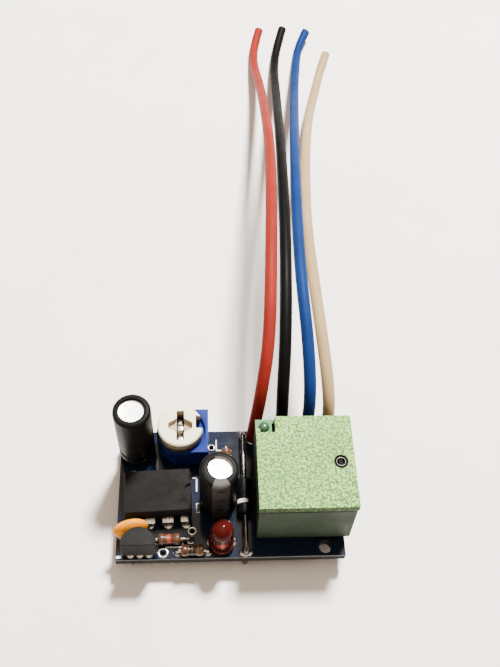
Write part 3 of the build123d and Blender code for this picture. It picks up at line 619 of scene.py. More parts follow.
class Effects:
    """The surface effects that several finishes share, each one shader node group."""

    def __init__(self) -> None:
        """Builds the groups."""
        self.grain = self.build_grain()
        self.mottle = self.build_mottle()
        self.flecks = self.build_flecks()
        self.brushing = self.build_brushing()
        self.band = self.build_band()
        self.ring = self.build_ring()

    @staticmethod
    def started(name: str, inputs: dict[str, object],
                output: str) -> tuple[Graph, dict[str, Socket], Socket]:
        """Starts a node group.

        Args:
            name: The group's name.
            inputs: Its inputs and what they are by themselves: a number or a vector.
            output: Its output, a value.

        Returns:
            The group's graph, its inputs by name, and the socket that its output takes.
        """
        tree = bpy.data.node_groups.new(name, "ShaderNodeTree")
        for key, value in inputs.items():
            kind = "NodeSocketVector" if isinstance(value, tuple) else "NodeSocketFloat"
            tree.interface.new_socket(key, in_out="INPUT", socket_type=kind).default_value = value
        tree.interface.new_socket(output, in_out="OUTPUT", socket_type="NodeSocketFloat")
        start, end = tree.nodes.new("NodeGroupInput"), tree.nodes.new("NodeGroupOutput")
        return Graph(tree), {key: start.outputs[key] for key in inputs}, end.inputs[output]

    def build_grain(self) -> bpy.types.NodeTree:
        """Pebbled grain, as a moulding takes it from its tool."""
        graph, given, result = self.started("Moulded grain", {"Where": (0.0,) * 3, "Scale": 4.0}, "Height")
        cells = graph.cells(given["Where"], given["Scale"], feature="SMOOTH_F1")
        graph.feed(cells.inputs["Smoothness"], 0.6)
        fine = graph.noise(given["Where"], graph.math("MULTIPLY", given["Scale"], 2.3), 3)
        graph.feed(result, graph.math("ADD", graph.math("MULTIPLY", cells.outputs["Distance"], 0.6),
                                      graph.math("MULTIPLY", fine, 0.6)))
        return graph.tree

    def build_mottle(self) -> bpy.types.NodeTree:
        """Broad uneven tone, as in dyed plastic or a dipped coat."""
        graph, given, result = self.started("Uneven tone", {"Where": (0.0,) * 3, "Scale": 0.5}, "Tone")
        broad = graph.noise(given["Where"], given["Scale"], 4, 0.6)
        graph.feed(result, graph.span(broad, 0.3, 0.7))
        return graph.tree

    def build_flecks(self) -> bpy.types.NodeTree:
        """Sparse specks of dust and lint."""
        graph, given, result = self.started(
            "Dust flecks", {"Where": (0.0,) * 3, "Scale": 2.0, "Size": 0.1}, "Mask")
        cells = graph.cells(given["Where"], given["Scale"])
        near = graph.math("LESS_THAN", cells.outputs["Distance"], given["Size"])
        parts = graph.add("SeparateColor")
        graph.feed(parts.inputs[0], cells.outputs["Color"])
        rare = graph.math("GREATER_THAN", parts.outputs[0], 0.7)
        graph.feed(result, graph.math("MULTIPLY", near, rare))
        return graph.tree

    def build_brushing(self) -> bpy.types.NodeTree:
        """Fine drawn lines along Z, with blotches, as on drawn or tinned metal."""
        graph, given, result = self.started("Drawn lines", {"Where": (0.0,) * 3, "Scale": 6.0}, "Tone")
        drawn = graph.stretch(given["Where"], (1.0, 1.0, 0.12))
        lines = graph.noise(drawn, given["Scale"], 3, 0.6)
        blotches = graph.noise(given["Where"], graph.math("MULTIPLY", given["Scale"], 0.35), 2)
        graph.feed(result, graph.math("ADD", graph.math("MULTIPLY", lines, 0.5),
                                      graph.math("MULTIPLY", blotches, 0.5)))
        return graph.tree

    def build_band(self) -> bpy.types.NodeTree:
        """A band between two values, with soft edges."""
        graph, given, result = self.started(
            "Painted band", {"Value": 0.0, "Start": -0.1, "End": 0.1, "Soft": 0.02}, "Mask")
        into = graph.math("DIVIDE", graph.math("SUBTRACT", given["Value"], given["Start"]), given["Soft"])
        out = graph.math("DIVIDE", graph.math("SUBTRACT", given["End"], given["Value"]), given["Soft"])
        mask = graph.math("MINIMUM", into, out)
        graph.feed(result, graph.span(mask, -1, 1))
        return graph.tree

    def build_ring(self) -> bpy.types.NodeTree:
        """Distance from an upright line through the origin."""
        graph, given, result = self.started("Distance from axis", {"Where": (0.0,) * 3}, "Distance")
        graph.feed(result, graph.length(graph.stretch(given["Where"], (1.0, 1.0, 0.0))))
        return graph.tree


effects = Effects()


@dataclass(frozen=True)
class Finish:
    """A surface: its colours, gloss, relief and dust. Relief and dust are in millimetres."""

    name: str
    colour: Colour
    second: Colour
    roughness: float = 0.5
    spread: float = 0.12
    metallic: float = 0.0
    grain: float = 5.0
    relief: float = 0.01
    mottle: float = 0.5
    coat: float = 0.0
    specular: float = 0.5
    dust: float = 0.15
    dust_tone: Colour = (0.45, 0.42, 0.38)
    dust_scale: float = 2.3
    dust_size: float = 0.07
    coat_roughness: float = 0.08

    def material(self) -> bpy.types.Material:
        """The finish as a Blender material, built the first time it is asked for."""
        done = bpy.data.materials.get(self.name)
        if done:
            return done
        made = bpy.data.materials.new(self.name)
        made.use_nodes = True
        graph = Graph(made.node_tree)
        shader = made.node_tree.nodes["Principled BSDF"]
        where = self.where(graph)
        colour = self.paint(graph, where)
        flecks = graph.group(effects.flecks, Where=where, Scale=self.dust_scale,
                             Size=self.dust_size).outputs[0]
        colour = graph.mix(graph.math("MULTIPLY", flecks, self.dust), colour, self.dust_tone)
        graph.feed(shader.inputs["Base Color"], colour)
        graph.feed(shader.inputs["Roughness"], self.gloss(graph, where))
        bump = graph.add("Bump")
        graph.feed(bump.inputs["Distance"], self.relief * MM)
        graph.feed(bump.inputs["Height"], self.height(graph, where))
        graph.feed(shader.inputs["Normal"], bump.outputs[0])
        for setting, value in {"Metallic": self.metallic, "Coat Weight": self.coat,
                               "Coat Roughness": self.coat_roughness,
                               "Specular IOR Level": self.specular}.items():
            graph.feed(shader.inputs[setting], value)
        self.dress(graph, shader, where)
        return made

    def put_on(self, data: bpy.types.Mesh | bpy.types.Curve) -> None:
        """Makes the finish the only material of a mesh or a curve."""
        data.materials.clear()
        data.materials.append(self.material())

    def where(self, graph: Graph, centre: Sequence[float] = (0, 0, 0),
              turn: Sequence[float] = (0, 0, 0)) -> Socket:
        """The place on the object in millimetres.

        Args:
            graph: The material's graph.
            centre: The point that becomes 0, in millimetres.
            turn: Angles about X, Y and Z in degrees, after the move.

        Returns:
            The place, as a vector.
        """
        place = graph.add("TexCoord").outputs["Object"]
        if any(centre) or any(turn):
            move = graph.add("Mapping", vector_type="POINT")
            graph.feed(move.inputs["Vector"], place)
            move.inputs["Location"].default_value = [-c * MM for c in centre]
            place = move.outputs[0]
        scale = graph.add("Mapping", vector_type="POINT")
        graph.feed(scale.inputs["Vector"], place)
        scale.inputs["Rotation"].default_value = [math.radians(angle) for angle in turn]
        scale.inputs["Scale"].default_value = (1 / MM,) * 3
        return scale.outputs[0]

    def paint(self, graph: Graph, where: Socket) -> Socket:
        """The surface's colour, before dust."""
        uneven = graph.group(effects.mottle, Where=where, Scale=self.mottle).outputs[0]
        return graph.mix(uneven, self.colour, self.second)

    def gloss(self, graph: Graph, where: Socket) -> Socket:
        """How rough the surface is from place to place."""
        uneven = graph.noise(where, self.mottle * 2.7, 3)
        return graph.span(uneven, 0.25, 0.75, self.roughness - self.spread / 2,
                          self.roughness + self.spread / 2)

    def height(self, graph: Graph, where: Socket) -> Socket:
        """The surface's relief, 0 to 1."""
        return graph.group(effects.grain, Where=where, Scale=self.grain).outputs[0]

    def dress(self, graph: Graph, shader: bpy.types.Node, where: Socket) -> None:
        """Further settings of the shader, none on a plain finish."""


@dataclass(frozen=True)
class Metal(Finish):
    """A drawn, plated or tinned metal."""

    metallic: float = 1.0
    roughness: float = 0.3
    spread: float = 0.2
    relief: float = 0.006
    grain: float = 7.0
    mottle: float = 1.2
    dust: float = 0.08

    def paint(self, graph: Graph, where: Socket) -> Socket:
        """The metal's colour, in fine lines and blotches."""
        lines = graph.group(effects.brushing, Where=where, Scale=self.grain).outputs[0]
        return graph.mix(graph.span(lines, 0.3, 0.7), self.colour, self.second)

    def height(self, graph: Graph, where: Socket) -> Socket:
        """The fine lines stand out as well."""
        return graph.group(effects.brushing, Where=where, Scale=self.grain).outputs[0]


@dataclass(frozen=True)
class Laminate(Finish):
    """The board: solder mask on both faces and bare glass cloth along the cut edges. The cloth's own
    layered tones are darkened as painted shade, and a pale strip along the top of each edge is a painted
    highlight.
    """

    # The glass cloth's two tones, darkened as painted shade, and the pale grey of the painted highlight
    # along the top of each edge
    edge: Colour = tone(28, 24, 21)
    edge_dark: Colour = tone(16, 14, 12)
    cut: Colour = tone(92, 94, 92)
    top: float = BOARD_TOP
    underside: float = BOARD_UNDERSIDE
    mask: float = 0.05
    mask_end: float = 0.02
    # How far down each edge the painted highlight reaches, and how softly it ends
    edge_highlight_depth: float = 0.4
    edge_highlight_fade: float = 0.1
    dullness: float = 0.9
    weave: Point = (0.7, 0.7, 6.0)

    def inside(self, graph: Graph, height: Socket) -> Socket:
        """1 between the two layers of solder mask, along the cut edges."""
        return graph.group(effects.band, Value=height, Start=self.underside + self.mask,
                           End=self.top - self.mask, Soft=self.mask_end).outputs[0]

    def gloss(self, graph: Graph, where: Socket) -> Socket:
        """Glossy mask above, and dull edges and underside."""
        mask_floor = self.top - self.mask
        below = graph.span(graph.split(where)[2], mask_floor + self.mask_end,
                           mask_floor - self.mask_end)
        return graph.math("MAXIMUM", super().gloss(graph, where),
                          graph.math("MULTIPLY", below, self.dullness))

    def paint(self, graph: Graph, where: Socket) -> Socket:
        """Solder mask, and glass cloth between its two layers, darkened as painted shade, with a pale
        painted highlight along the top of each edge.
        """
        height = graph.split(where)[2]
        layers = graph.noise(graph.stretch(where, self.weave), 1.6, 4, 0.7)
        cloth = graph.mix(graph.span(layers, 0.35, 0.65), self.edge_dark, self.edge)
        # Painted highlight: the top strip of each cut edge turns pale grey
        edge_highlight_floor = self.top - self.edge_highlight_depth
        edge_highlight_mask = graph.span(height, edge_highlight_floor - self.edge_highlight_fade, edge_highlight_floor + self.edge_highlight_fade)
        cloth = graph.mix(edge_highlight_mask, cloth, self.cut)
        return graph.mix(self.inside(graph, height), super().paint(graph, where), cloth)


@dataclass(frozen=True)
class Dial(Finish):
    """The trimmer's rotor: pale on its top, with painted shade down its side and darker painted shade in
    its slot.
    """

    # Painted shade: tan down the rotor's side, and brown deep in its slot
    side: Colour = tone(168, 154, 130)
    deep: Colour = tone(88, 78, 64)
    face: float = 9.9
    rim: float = 0.3
    rim_end: float = 0.05
    floor: float = 8.3
    slot_shade_fade: float = 0.7

    def paint(self, graph: Graph, where: Socket) -> Socket:
        """Pale above, with painted shade below: tan down the side, then brown deep in the slot."""
        height = graph.split(where)[2]
        low = graph.span(height, self.face - self.rim_end, self.face - self.rim)
        colour = graph.mix(low, super().paint(graph, where), self.side)
        deep = graph.span(height, self.floor + self.slot_shade_fade, self.floor)
        return graph.mix(deep, colour, self.deep)


@dataclass(frozen=True)
class GrainedCover(Finish):
    """The relay's cover: a speckled top band with a ringed dot, and a plainer body below a dark strip. The
    body's grey green is darkened as painted shade, and the band's darker sides and the dark strip are
    painted shade too.
    """

    # The body's grey green, darkened as painted shade
    body: Colour = tone(57, 67, 55)
    body_second: Colour = tone(50, 59, 48)
    ledge: Colour = tone(84, 132, 92)
    ledge_below: float = 99.0
    # Painted shade: the darker speckle on the steep sides of the top band
    side: Colour = tone(84, 106, 62)
    light: Colour = tone(164, 198, 112)
    speck_from: float = 0.42
    speck_full: float = 0.6
    blush: float = 0.35
    level: float = 0.8
    steep: float = 0.5
    ledge_end: float = 0.05
    ink: Colour = tone(10, 11, 10)
    ring_white: Colour = tone(172, 172, 166)
    # Painted shadow: a near-black strip on the body just under the top band, its height and its soft end
    under_band_shade: Colour = tone(22, 26, 20)
    under_band_shade_height: float = 0.5
    under_band_shade_end: float = 0.1
    band_floor: float = 13.3
    band_end: float = 0.02
    dot: Point = (0.0, 0.0, 0.0)
    dot_radius: float = 0.9
    dot_end: float = 0.06
    ring_outer: float = 0.6
    ring_inner: float = 0.4
    ring_end: float = 0.015
    body_grain: float = 2.2
    body_relief: float = 0.2

    def above(self, graph: Graph, where: Socket) -> Socket:
        """1 on the textured band and 0 below it."""
        return graph.span(graph.split(where)[2], self.band_floor - self.band_end,
                          self.band_floor + self.band_end)

    def pebbles(self, graph: Graph, where: Socket) -> Socket:
        """The coarse texture of the top band."""
        return graph.noise(where, self.grain, 3, 0.65)

    def band(self, graph: Graph, where: Socket, broad: Socket,
             height: Socket) -> Socket:
        """The top band's colour: speckled, with painted shade down its steep sides, smooth on the notch's
        ledge.

        Args:
            graph: The material's graph.
            where: The place on the object.
            broad: The broad uneven tone.
            height: The place's height.

        Returns:
            The colour.
        """
        specks = graph.span(self.pebbles(graph, where), self.speck_from, self.speck_full)
        top = graph.mix(specks, self.colour, self.light)
        top = graph.mix(graph.math("MULTIPLY", broad, self.blush), top, self.second)
        # Steep faces take a darker copy of the speckle, as painted shade
        upward = graph.split(graph.add("TexCoord").outputs["Normal"])[2]
        side = graph.mix(specks, self.body_second, self.side)
        top = graph.mix(graph.span(upward, self.level, self.steep), top, side)
        flat = graph.span(upward, self.steep, self.level)
        low = graph.span(height, self.ledge_below + self.ledge_end, self.ledge_below)
        return graph.mix(graph.math("MULTIPLY", flat, low), top, self.ledge)

    def paint(self, graph: Graph, where: Socket) -> Socket:
        """Speckled light green above; plain grey green below, darkened as painted shade, with a painted
        shadow strip under the band; and the dot.
        """
        broad = graph.group(effects.mottle, Where=where, Scale=self.mottle).outputs[0]
        height = graph.split(where)[2]
        # Painted shadow strip under the band's overhang
        under_band_shade_floor = self.band_floor - self.under_band_shade_height
        in_under_band_shade = graph.span(height, under_band_shade_floor - self.under_band_shade_end, under_band_shade_floor)
        plain = graph.mix(in_under_band_shade, graph.mix(broad, self.body, self.body_second), self.under_band_shade)
        above = self.above(graph, where)
        colour = graph.mix(above, plain, self.band(graph, where, broad, height))
        away = graph.group(effects.ring, Where=self.where(graph, self.dot)).outputs[0]
        in_dot = graph.span(away, self.dot_radius + self.dot_end, self.dot_radius)
        colour = graph.mix(in_dot, colour, self.ink)
        white = graph.group(effects.band, Value=away, Start=self.ring_inner, End=self.ring_outer,
                            Soft=self.ring_end).outputs[0]
        return graph.mix(graph.math("MULTIPLY", white, above), colour, self.ring_white)

    def height(self, graph: Graph, where: Socket) -> Socket:
        """Grain that is strong on the top band and faint on the body."""
        faint = graph.math("MULTIPLY", graph.noise(where, self.body_grain, 3), self.body_relief)
        return graph.mix(self.above(graph, where), faint, self.pebbles(graph, where))


@dataclass(frozen=True)
class Banded(Finish):
    """A body with painted rings, which start and end at places along it from its middle."""

    middle: Point = (0.0, 0.0, 0.0)
    along: Along = Along.X
    bands: tuple[tuple[float, float, Colour], ...] = ()
    # Past this place along X the rings are left out as painted shade; before it they show as a painted
    # highlight
    lit_band_until: float = 99.0
    lit_band_fade: float = 0.25
    waver: float = 0.12
    band_end: float = 0.04

    def paint(self, graph: Graph, where: Socket) -> Socket:
        """Lacquer with wavering rings round it; where a limit along X is set, the rings show only before
        it, as a painted highlight on the lit side, and are left out past it as painted shade.
        """
        colour = super().paint(graph, where)
        place = graph.split(self.where(graph, self.middle))
        waver = graph.math("MULTIPLY", graph.noise(where, 1.4, 2), self.waver)
        along = graph.math("ADD", place[self.along.value], waver)
        lit_band_mask = graph.span(graph.math("ADD", place[0], waver), self.lit_band_until + self.lit_band_fade,
                          self.lit_band_until)
        for start, end, paint in self.bands:
            mask = graph.group(effects.band, Value=along, Start=start, End=end,
                               Soft=self.band_end).outputs[0]
            colour = graph.mix(graph.math("MULTIPLY", mask, lit_band_mask), colour, paint)
        return colour


@dataclass(frozen=True)
class Sleeve(Finish):
    """A capacitor's shrunk sleeve, with the pale stripe that marks its minus side."""

    axis: Point = (0.0, 0.0, 0.0)
    facing: float = 180.0
    half_angle: float = 32.0
    stripe: Colour = tone(84, 78, 72)
    mark: Colour = tone(22, 21, 20)
    mark_every: float = 3.2
    mark_height: float = 0.35
    mark_end: float = 0.06
    mark_angle: float = 11.0
    angle_end: float = 1.0
    # Colour of the stripe over the shoulder; a paler one is a painted reflection
    crown: Colour = tone(92, 90, 88)
    crown_from: float = 99.0
    crown_end: float = 0.1

    def paint(self, graph: Graph, where: Socket) -> Socket:
        """Black with a stripe that carries a row of short dashes; over the shoulder the stripe takes the
        crown colour, which on the supply can is paler as a painted reflection.
        """
        across, forward, height = graph.split(
            self.where(graph, self.axis, (0, 0, -self.facing)))
        angle = graph.math("ABSOLUTE", graph.math("DEGREES", graph.math("ARCTAN2", forward, across)))
        inside = graph.span(angle, self.half_angle + self.angle_end, self.half_angle)
        # Over the shoulder the stripe turns to the crown colour, a painted reflection where it is paler
        high = graph.span(height, self.crown_from - self.crown_end, self.crown_from + self.crown_end)
        colour = graph.mix(inside, super().paint(graph, where), graph.mix(high, self.stripe, self.crown))
        row = graph.math("PINGPONG", height, self.mark_every / 2)
        dash = graph.math("MULTIPLY",
                          graph.span(row, self.mark_height, self.mark_height - self.mark_end),
                          graph.span(angle, self.mark_angle + self.angle_end, self.mark_angle))
        return graph.mix(dash, colour, self.mark)


@dataclass(frozen=True)
class Lens(Finish):
    """The lamp's dyed clear body, with a painted glow low at its front in place of the light that gathers
    there.
    """

    # Painted glow: its colour, place, size and strength
    glow: Colour = tone(255, 70, 30)
    glow_place: Point = (0.0, 0.0, 0.0)
    glow_radius: float = 1.0
    glow_strength: float = 0.6
    clearness: float = 0.07
    refraction: float = 1.5

    def dress(self, graph: Graph, shader: bpy.types.Node, where: Socket) -> None:
        """Makes it clear, and adds a painted glow, as emission, low at its front."""
        graph.feed(shader.inputs["Transmission Weight"], self.clearness)
        graph.feed(shader.inputs["IOR"], self.refraction)
        away = graph.length(self.where(graph, self.glow_place))
        mask = graph.span(away, self.glow_radius, 0.0)
        graph.feed(shader.inputs["Emission Color"], graph.mix(mask, (0.0, 0.0, 0.0), self.glow))
        graph.feed(shader.inputs["Emission Strength"], self.glow_strength)


TINNED = Metal("tinned_metal", tone(206, 204, 198), tone(150, 147, 140))
SOLDER = Metal("bright_solder", tone(226, 226, 224), tone(160, 160, 160), roughness=0.2, grain=3.0,
               relief=0.02)
COPPER = Metal("tinned_copper", tone(196, 140, 96), tone(150, 98, 66), roughness=0.35)
STRANDS = Metal("copper_strand", tone(214, 150, 104), tone(160, 96, 62), roughness=0.25)
IRON = Metal("nickel_iron", tone(188, 186, 180), tone(140, 138, 134), roughness=0.38)
WINDING = Metal("enamelled_winding", tone(170, 84, 40), tone(120, 50, 26), roughness=0.3, grain=14.0,
                relief=0.03, coat=0.4)
CONTACT = Metal("contact_metal", tone(222, 214, 196), tone(180, 172, 156), roughness=0.28)
BRONZE = Metal("spring_metal", tone(206, 164, 96), tone(168, 126, 70), roughness=0.3)
ALUMINIUM = Metal("can_metal", tone(240, 240, 240), tone(214, 214, 214), roughness=0.42, grain=9.0)
FOIL = Metal("rolled_foil", tone(190, 188, 184), tone(120, 116, 110), roughness=0.5, grain=20.0)
SILICON = Metal("polished_silicon", tone(92, 92, 108), tone(60, 60, 76), roughness=0.12)
CARBON = Finish("carbon_track", tone(30, 29, 28), tone(20, 19, 19), roughness=0.6, grain=9.0)
FIRED = Finish("fired_ceramic", tone(226, 220, 204), tone(204, 196, 178), roughness=0.7, grain=8.0)
RUBBER = Finish("bung_rubber", tone(30, 30, 30), tone(20, 20, 20), roughness=0.75, grain=8.0)
INK = Finish("printed_ink", tone(232, 232, 226), tone(200, 200, 194), roughness=0.55, grain=10.0,
             relief=0.006)
BLACK_BASE = Finish("relay_base_black", tone(34, 34, 34), tone(24, 24, 24), roughness=0.6)
BOBBIN = Finish("bobbin_white", tone(224, 222, 210), tone(204, 200, 186), roughness=0.5)
EPOXY = Finish("chip_epoxy", tone(26, 25, 24), tone(22, 21, 21), roughness=0.7, spread=0.14,
               grain=9.0, relief=0.012, dust=0.05, specular=0.05)
TRANSISTOR_EPOXY = Finish("transistor_epoxy", tone(31, 31, 31), tone(27, 27, 27), roughness=0.6,
                          grain=8.0, relief=0.01, dust=0.05, specular=0.05)
DIP = Finish("dip_lacquer", tone(230, 148, 0), tone(212, 124, 0), roughness=0.3, grain=2.4,
             relief=0.02, mottle=0.7, specular=0.03)
BLUE = Finish("blue_moulding", tone(28, 44, 116), tone(22, 36, 100), roughness=0.42, grain=6.0,
              relief=0.01, specular=0.04)
CREAM = Dial("cream_moulding", tone(246, 240, 212), tone(240, 230, 196), roughness=0.55, grain=6.0,
             relief=0.008, specular=0.2)
LAMINATE = Laminate("solder_mask", tone(10, 24, 44), tone(8, 19, 35), roughness=0.1,
                    spread=0.03, grain=2.6, relief=0.0015, mottle=0.35, specular=0.28, dust=0.05)
NUB_GREEN = Finish("nub_green", tone(44, 78, 50), tone(36, 66, 42), roughness=0.22, relief=0.004,
                   dust=0.05, specular=0.4)
DULL_TIN = Metal("dull_tin", tone(104, 102, 98), tone(66, 64, 62), roughness=0.34)

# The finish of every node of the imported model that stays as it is
CARRIED_OVER = {
    "circuit_board": LAMINATE, "copper_tracks": COPPER, "silkscreen_marks": INK,
    "timer_chip_die": SILICON, "ceramic_capacitor_leads": TINNED,
    "led_die": SILICON, "diode_leads": DULL_TIN, "trimmer_track": CARBON, "trimmer_pins": TINNED,
    "relay_base": BLACK_BASE, "relay_yoke": IRON, "relay_core": IRON, "relay_bobbin": BOBBIN,
    "relay_winding": WINDING, "relay_armature": IRON, "relay_contact_leaf": BRONZE,
    "relay_moving_contact": CONTACT, "relay_fixed_contacts": CONTACT,
    "relay_open_terminal": TINNED, "relay_closed_terminal": TINNED,
    "relay_common_terminal": TINNED, "relay_coil_pins": TINNED, "wire_bared_ends": TINNED,
    **{f"{name}_{part}": finish for name in ("timing_capacitor", "supply_capacitor")
       for part, finish in (("bung", RUBBER), ("element", FOIL), ("leads", TINNED))},
    **{f"{name}_leads": TINNED for name in ("feed_resistor", "led_resistor", "base_resistor")},
}


def deliver(piece: Piece, finish: Finish, slot: str, *nodes: str, body: Body = Body.ROOT) -> Piece:
    """Makes a piece metres, dresses it, and puts it on its body in place of nodes of the model.

    Args:
        piece: The finished shape, in millimetres.
        finish: Its finish.
        slot: The record's material slot that it stands for; not used.
        *nodes: The nodes that it replaces.
        body: The body that it rides on.

    Returns:
        The same piece.
    """
    piece.scale = (MM, MM, MM)
    settled(piece)
    return handed_over(piece, finish, slot, *nodes, body=body)


def handed_over(piece: Piece, finish: Finish, slot: str, *nodes: str,
                body: Body = Body.ROOT) -> Piece:
    """Dresses a piece that is in metres already, as deliver does."""
    finish.put_on(piece.data)
    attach(piece, body.value)
    if nodes:
        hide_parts(*nodes)
    log.info("%s on %s, for %s", piece.name, body.value, ", ".join(nodes) or "nothing")
    return piece


@dataclass
class Board:
    """The bare board's tinned rings, and the solder on both of its sides.

    Spread names the rings that flowed wider: their place, and their stretch along X and Y.
    """

    ring_height: float = 0.16
    mound_height: float = 0.3
    segments: int = 28
    reach: float = 0.2
    spread: tuple[tuple[float, float, float, float], ...] = (
        (-9.595, -9.54, 1.42, 1.3), (-5.605, -6.535, 1.2, 1.15), (1.795, -9.77, 1.7, 1.0),
        (-14.01, -9.54, 1.14, 1.25), (-12.74, -9.54, 1.14, 1.25), (-11.47, -9.54, 1.14, 1.25))

    def build(self) -> None:
        """Models the rings, the mounds and the joints below, and dresses them."""
        joints = solids_of("solder_joints")
        rings, mounds = [], []
        for extent, hole in solids_of("pad_rings"):
            outer = extent.size.x / 2
            middle = extent.middle
            filled = any((one.middle - middle).to_2d().length < outer / 2 for one, _ in joints)
            piece = self.mound(outer) if filled else self.ring(outer, hole)
            for x, y, wide, deep in self.spread:
                if (middle.to_2d() - Vector((x, y))).length < self.reach:
                    piece.scale = (wide, deep, 1)
            (mounds if filled else rings).append(placed(piece, (middle.x, middle.y, BOARD_TOP)))
        deliver(smooth(joined("tinned_pads", rings + mounds), 60), SOLDER, "solder", "pad_rings")
        below = [self.joint(extent) for extent, _ in joints]
        deliver(smooth(joined("solder_cones", below), 60), SOLDER, "solder", "solder_joints")

    def ring(self, outer: float, hole: float) -> Piece:
        """A domed ring of tin round an empty hole."""
        wide = (outer - hole) / 2
        crown = [(outer - wide + wide * math.cos(math.radians(a)),
                  self.ring_height * math.sin(math.radians(a))) for a in range(0, 181, 30)]
        return turned("ring", [*crown, (hole, -0.3), (outer, -0.01)], self.segments, closed=True)

    def mound(self, outer: float) -> Piece:
        """A low mound of solder that a lead comes out of."""
        rise = [(1.0, 0.0), (0.97, 0.12), (0.86, 0.3), (0.7, 0.42), (0.52, 0.6), (0.4, 0.85), (0.3, 1.0)]
        outline = [(outer * share, self.mound_height * height) for share, height in rise]
        return turned("mound", [(0, -0.01), (outer, -0.01), *outline, (0, self.mound_height)],
                      self.segments)

    def joint(self, extent: Extent) -> Piece:
        """A concave cone of solder that hangs below the board round a lead."""
        outer, height = extent.size.x / 2, extent.size.z
        outline = [(outer * share, -height * drop) for share, drop in (
            (1.0, 0.0), (0.98, 0.1), (0.84, 0.26), (0.68, 0.44), (0.56, 0.66), (0.47, 0.86), (0.4, 1.0))]
        piece = turned("joint", [(0, 0), *outline, (0, -height)], self.segments)
        return placed(piece, (extent.middle.x, extent.middle.y, extent.high.z))


@dataclass
class TimerChip:
    """The eight-pin chip: a tapered moulding with a notch at its right end, and its bent leads."""

    taper: float = 6.0
    notch_radius: float = 0.75
    notch_depth: float = 0.4
    dimple_radius: float = 0.5
    dimple_depth: float = 0.07
    dimple_inset: float = 1.2
    edge: float = 0.09
    turn: float = 2.4
    move: Point = (-0.13, -0.25, 0.0)
    pin_foot: float = 0.4
    pin_shoulder: float = 0.7
    tuck: float = 0.3
    tuck_behind: float = 1.0
    sag: float = 0.7

    def build(self) -> None:
        """Models the moulding and the leads, and dresses them."""
        extent = Extent.of("timer_chip_body")
        low, high, middle = extent.low, extent.high, extent.middle
        inset = math.tan(math.radians(self.taper)) * extent.size.z / 2
        piece = block("chip_moulding", low, high)
        with editing(piece):
            select_all()
            bpy.ops.mesh.bisect(plane_co=middle, plane_no=(0, 0, 1))
            for level in (low.z, high.z):
                pick(piece, lambda vertex: abs(vertex.co.z - level) < MERGE)
                narrow = (1 - 2 * inset / extent.size.x, 1 - 2 * inset / extent.size.y, 1)
                bpy.ops.transform.resize(value=narrow, center_override=(middle.x, middle.y, level))
        notch = drum("notch", (high.x - inset, middle.y, high.z - self.notch_depth), self.notch_radius,
                     PAST)
        inward = self.dimple_inset
        dimple = drum("dimple", (high.x - inward, low.y + inward, high.z - self.dimple_depth),
                      self.dimple_radius, PAST, 40)
        softened(combined(piece, "DIFFERENCE", notch, dimple), self.edge, 3)
        leads = recast("timer_chip_leads", "chip_lead_frame", LEAD_EDGE)
        foot = BOARD_TOP + self.pin_foot
        for one in (piece, leads):
            nudged(one, foot, self.move, self.turn, middle)
        nudged(leads, BOARD_TOP + self.pin_shoulder, (0, 0, -self.sag))
        nudged(leads, foot, (0, -self.tuck, 0), behind=middle.y + self.tuck_behind)
        deliver(piece, EPOXY, "black_epoxy", "timer_chip_body")
        deliver(leads, TINNED, "tinned_lead", "timer_chip_leads")


@dataclass
class Transistor:
    """The three-lead transistor, round behind and flat in front."""

    edge: float = 0.13
    draft: float = 0.985
    forward: float = 0.12

    def build(self) -> None:
        """Models the moulding and the legs, and dresses them."""
        extent = Extent.of("transistor_body")
        radius = extent.size.x / 2
        middle = Vector((extent.middle.x, extent.high.y - radius, extent.low.z))
        piece = drum("transistor_moulding", middle, radius, extent.size.z, 96)
        with editing(piece):
            select_all()
            bpy.ops.mesh.bisect(plane_co=(middle.x, extent.low.y, middle.z), plane_no=(0, 1, 0),
                                use_fill=True, clear_inner=True)
            pick(piece, lambda vertex: vertex.co.z > extent.high.z - MERGE)
            bpy.ops.transform.resize(value=(self.draft, self.draft, 1),
                                     center_override=(middle.x, extent.middle.y, extent.high.z))
        placed(softened(piece, self.edge, 4), (0, -self.forward, 0))
        deliver(piece, TRANSISTOR_EPOXY, "black_epoxy", "transistor_body")
        deliver(recast("transistor_leads", "transistor_legs", LEAD_EDGE), TINNED, "tinned_lead",
                "transistor_leads")


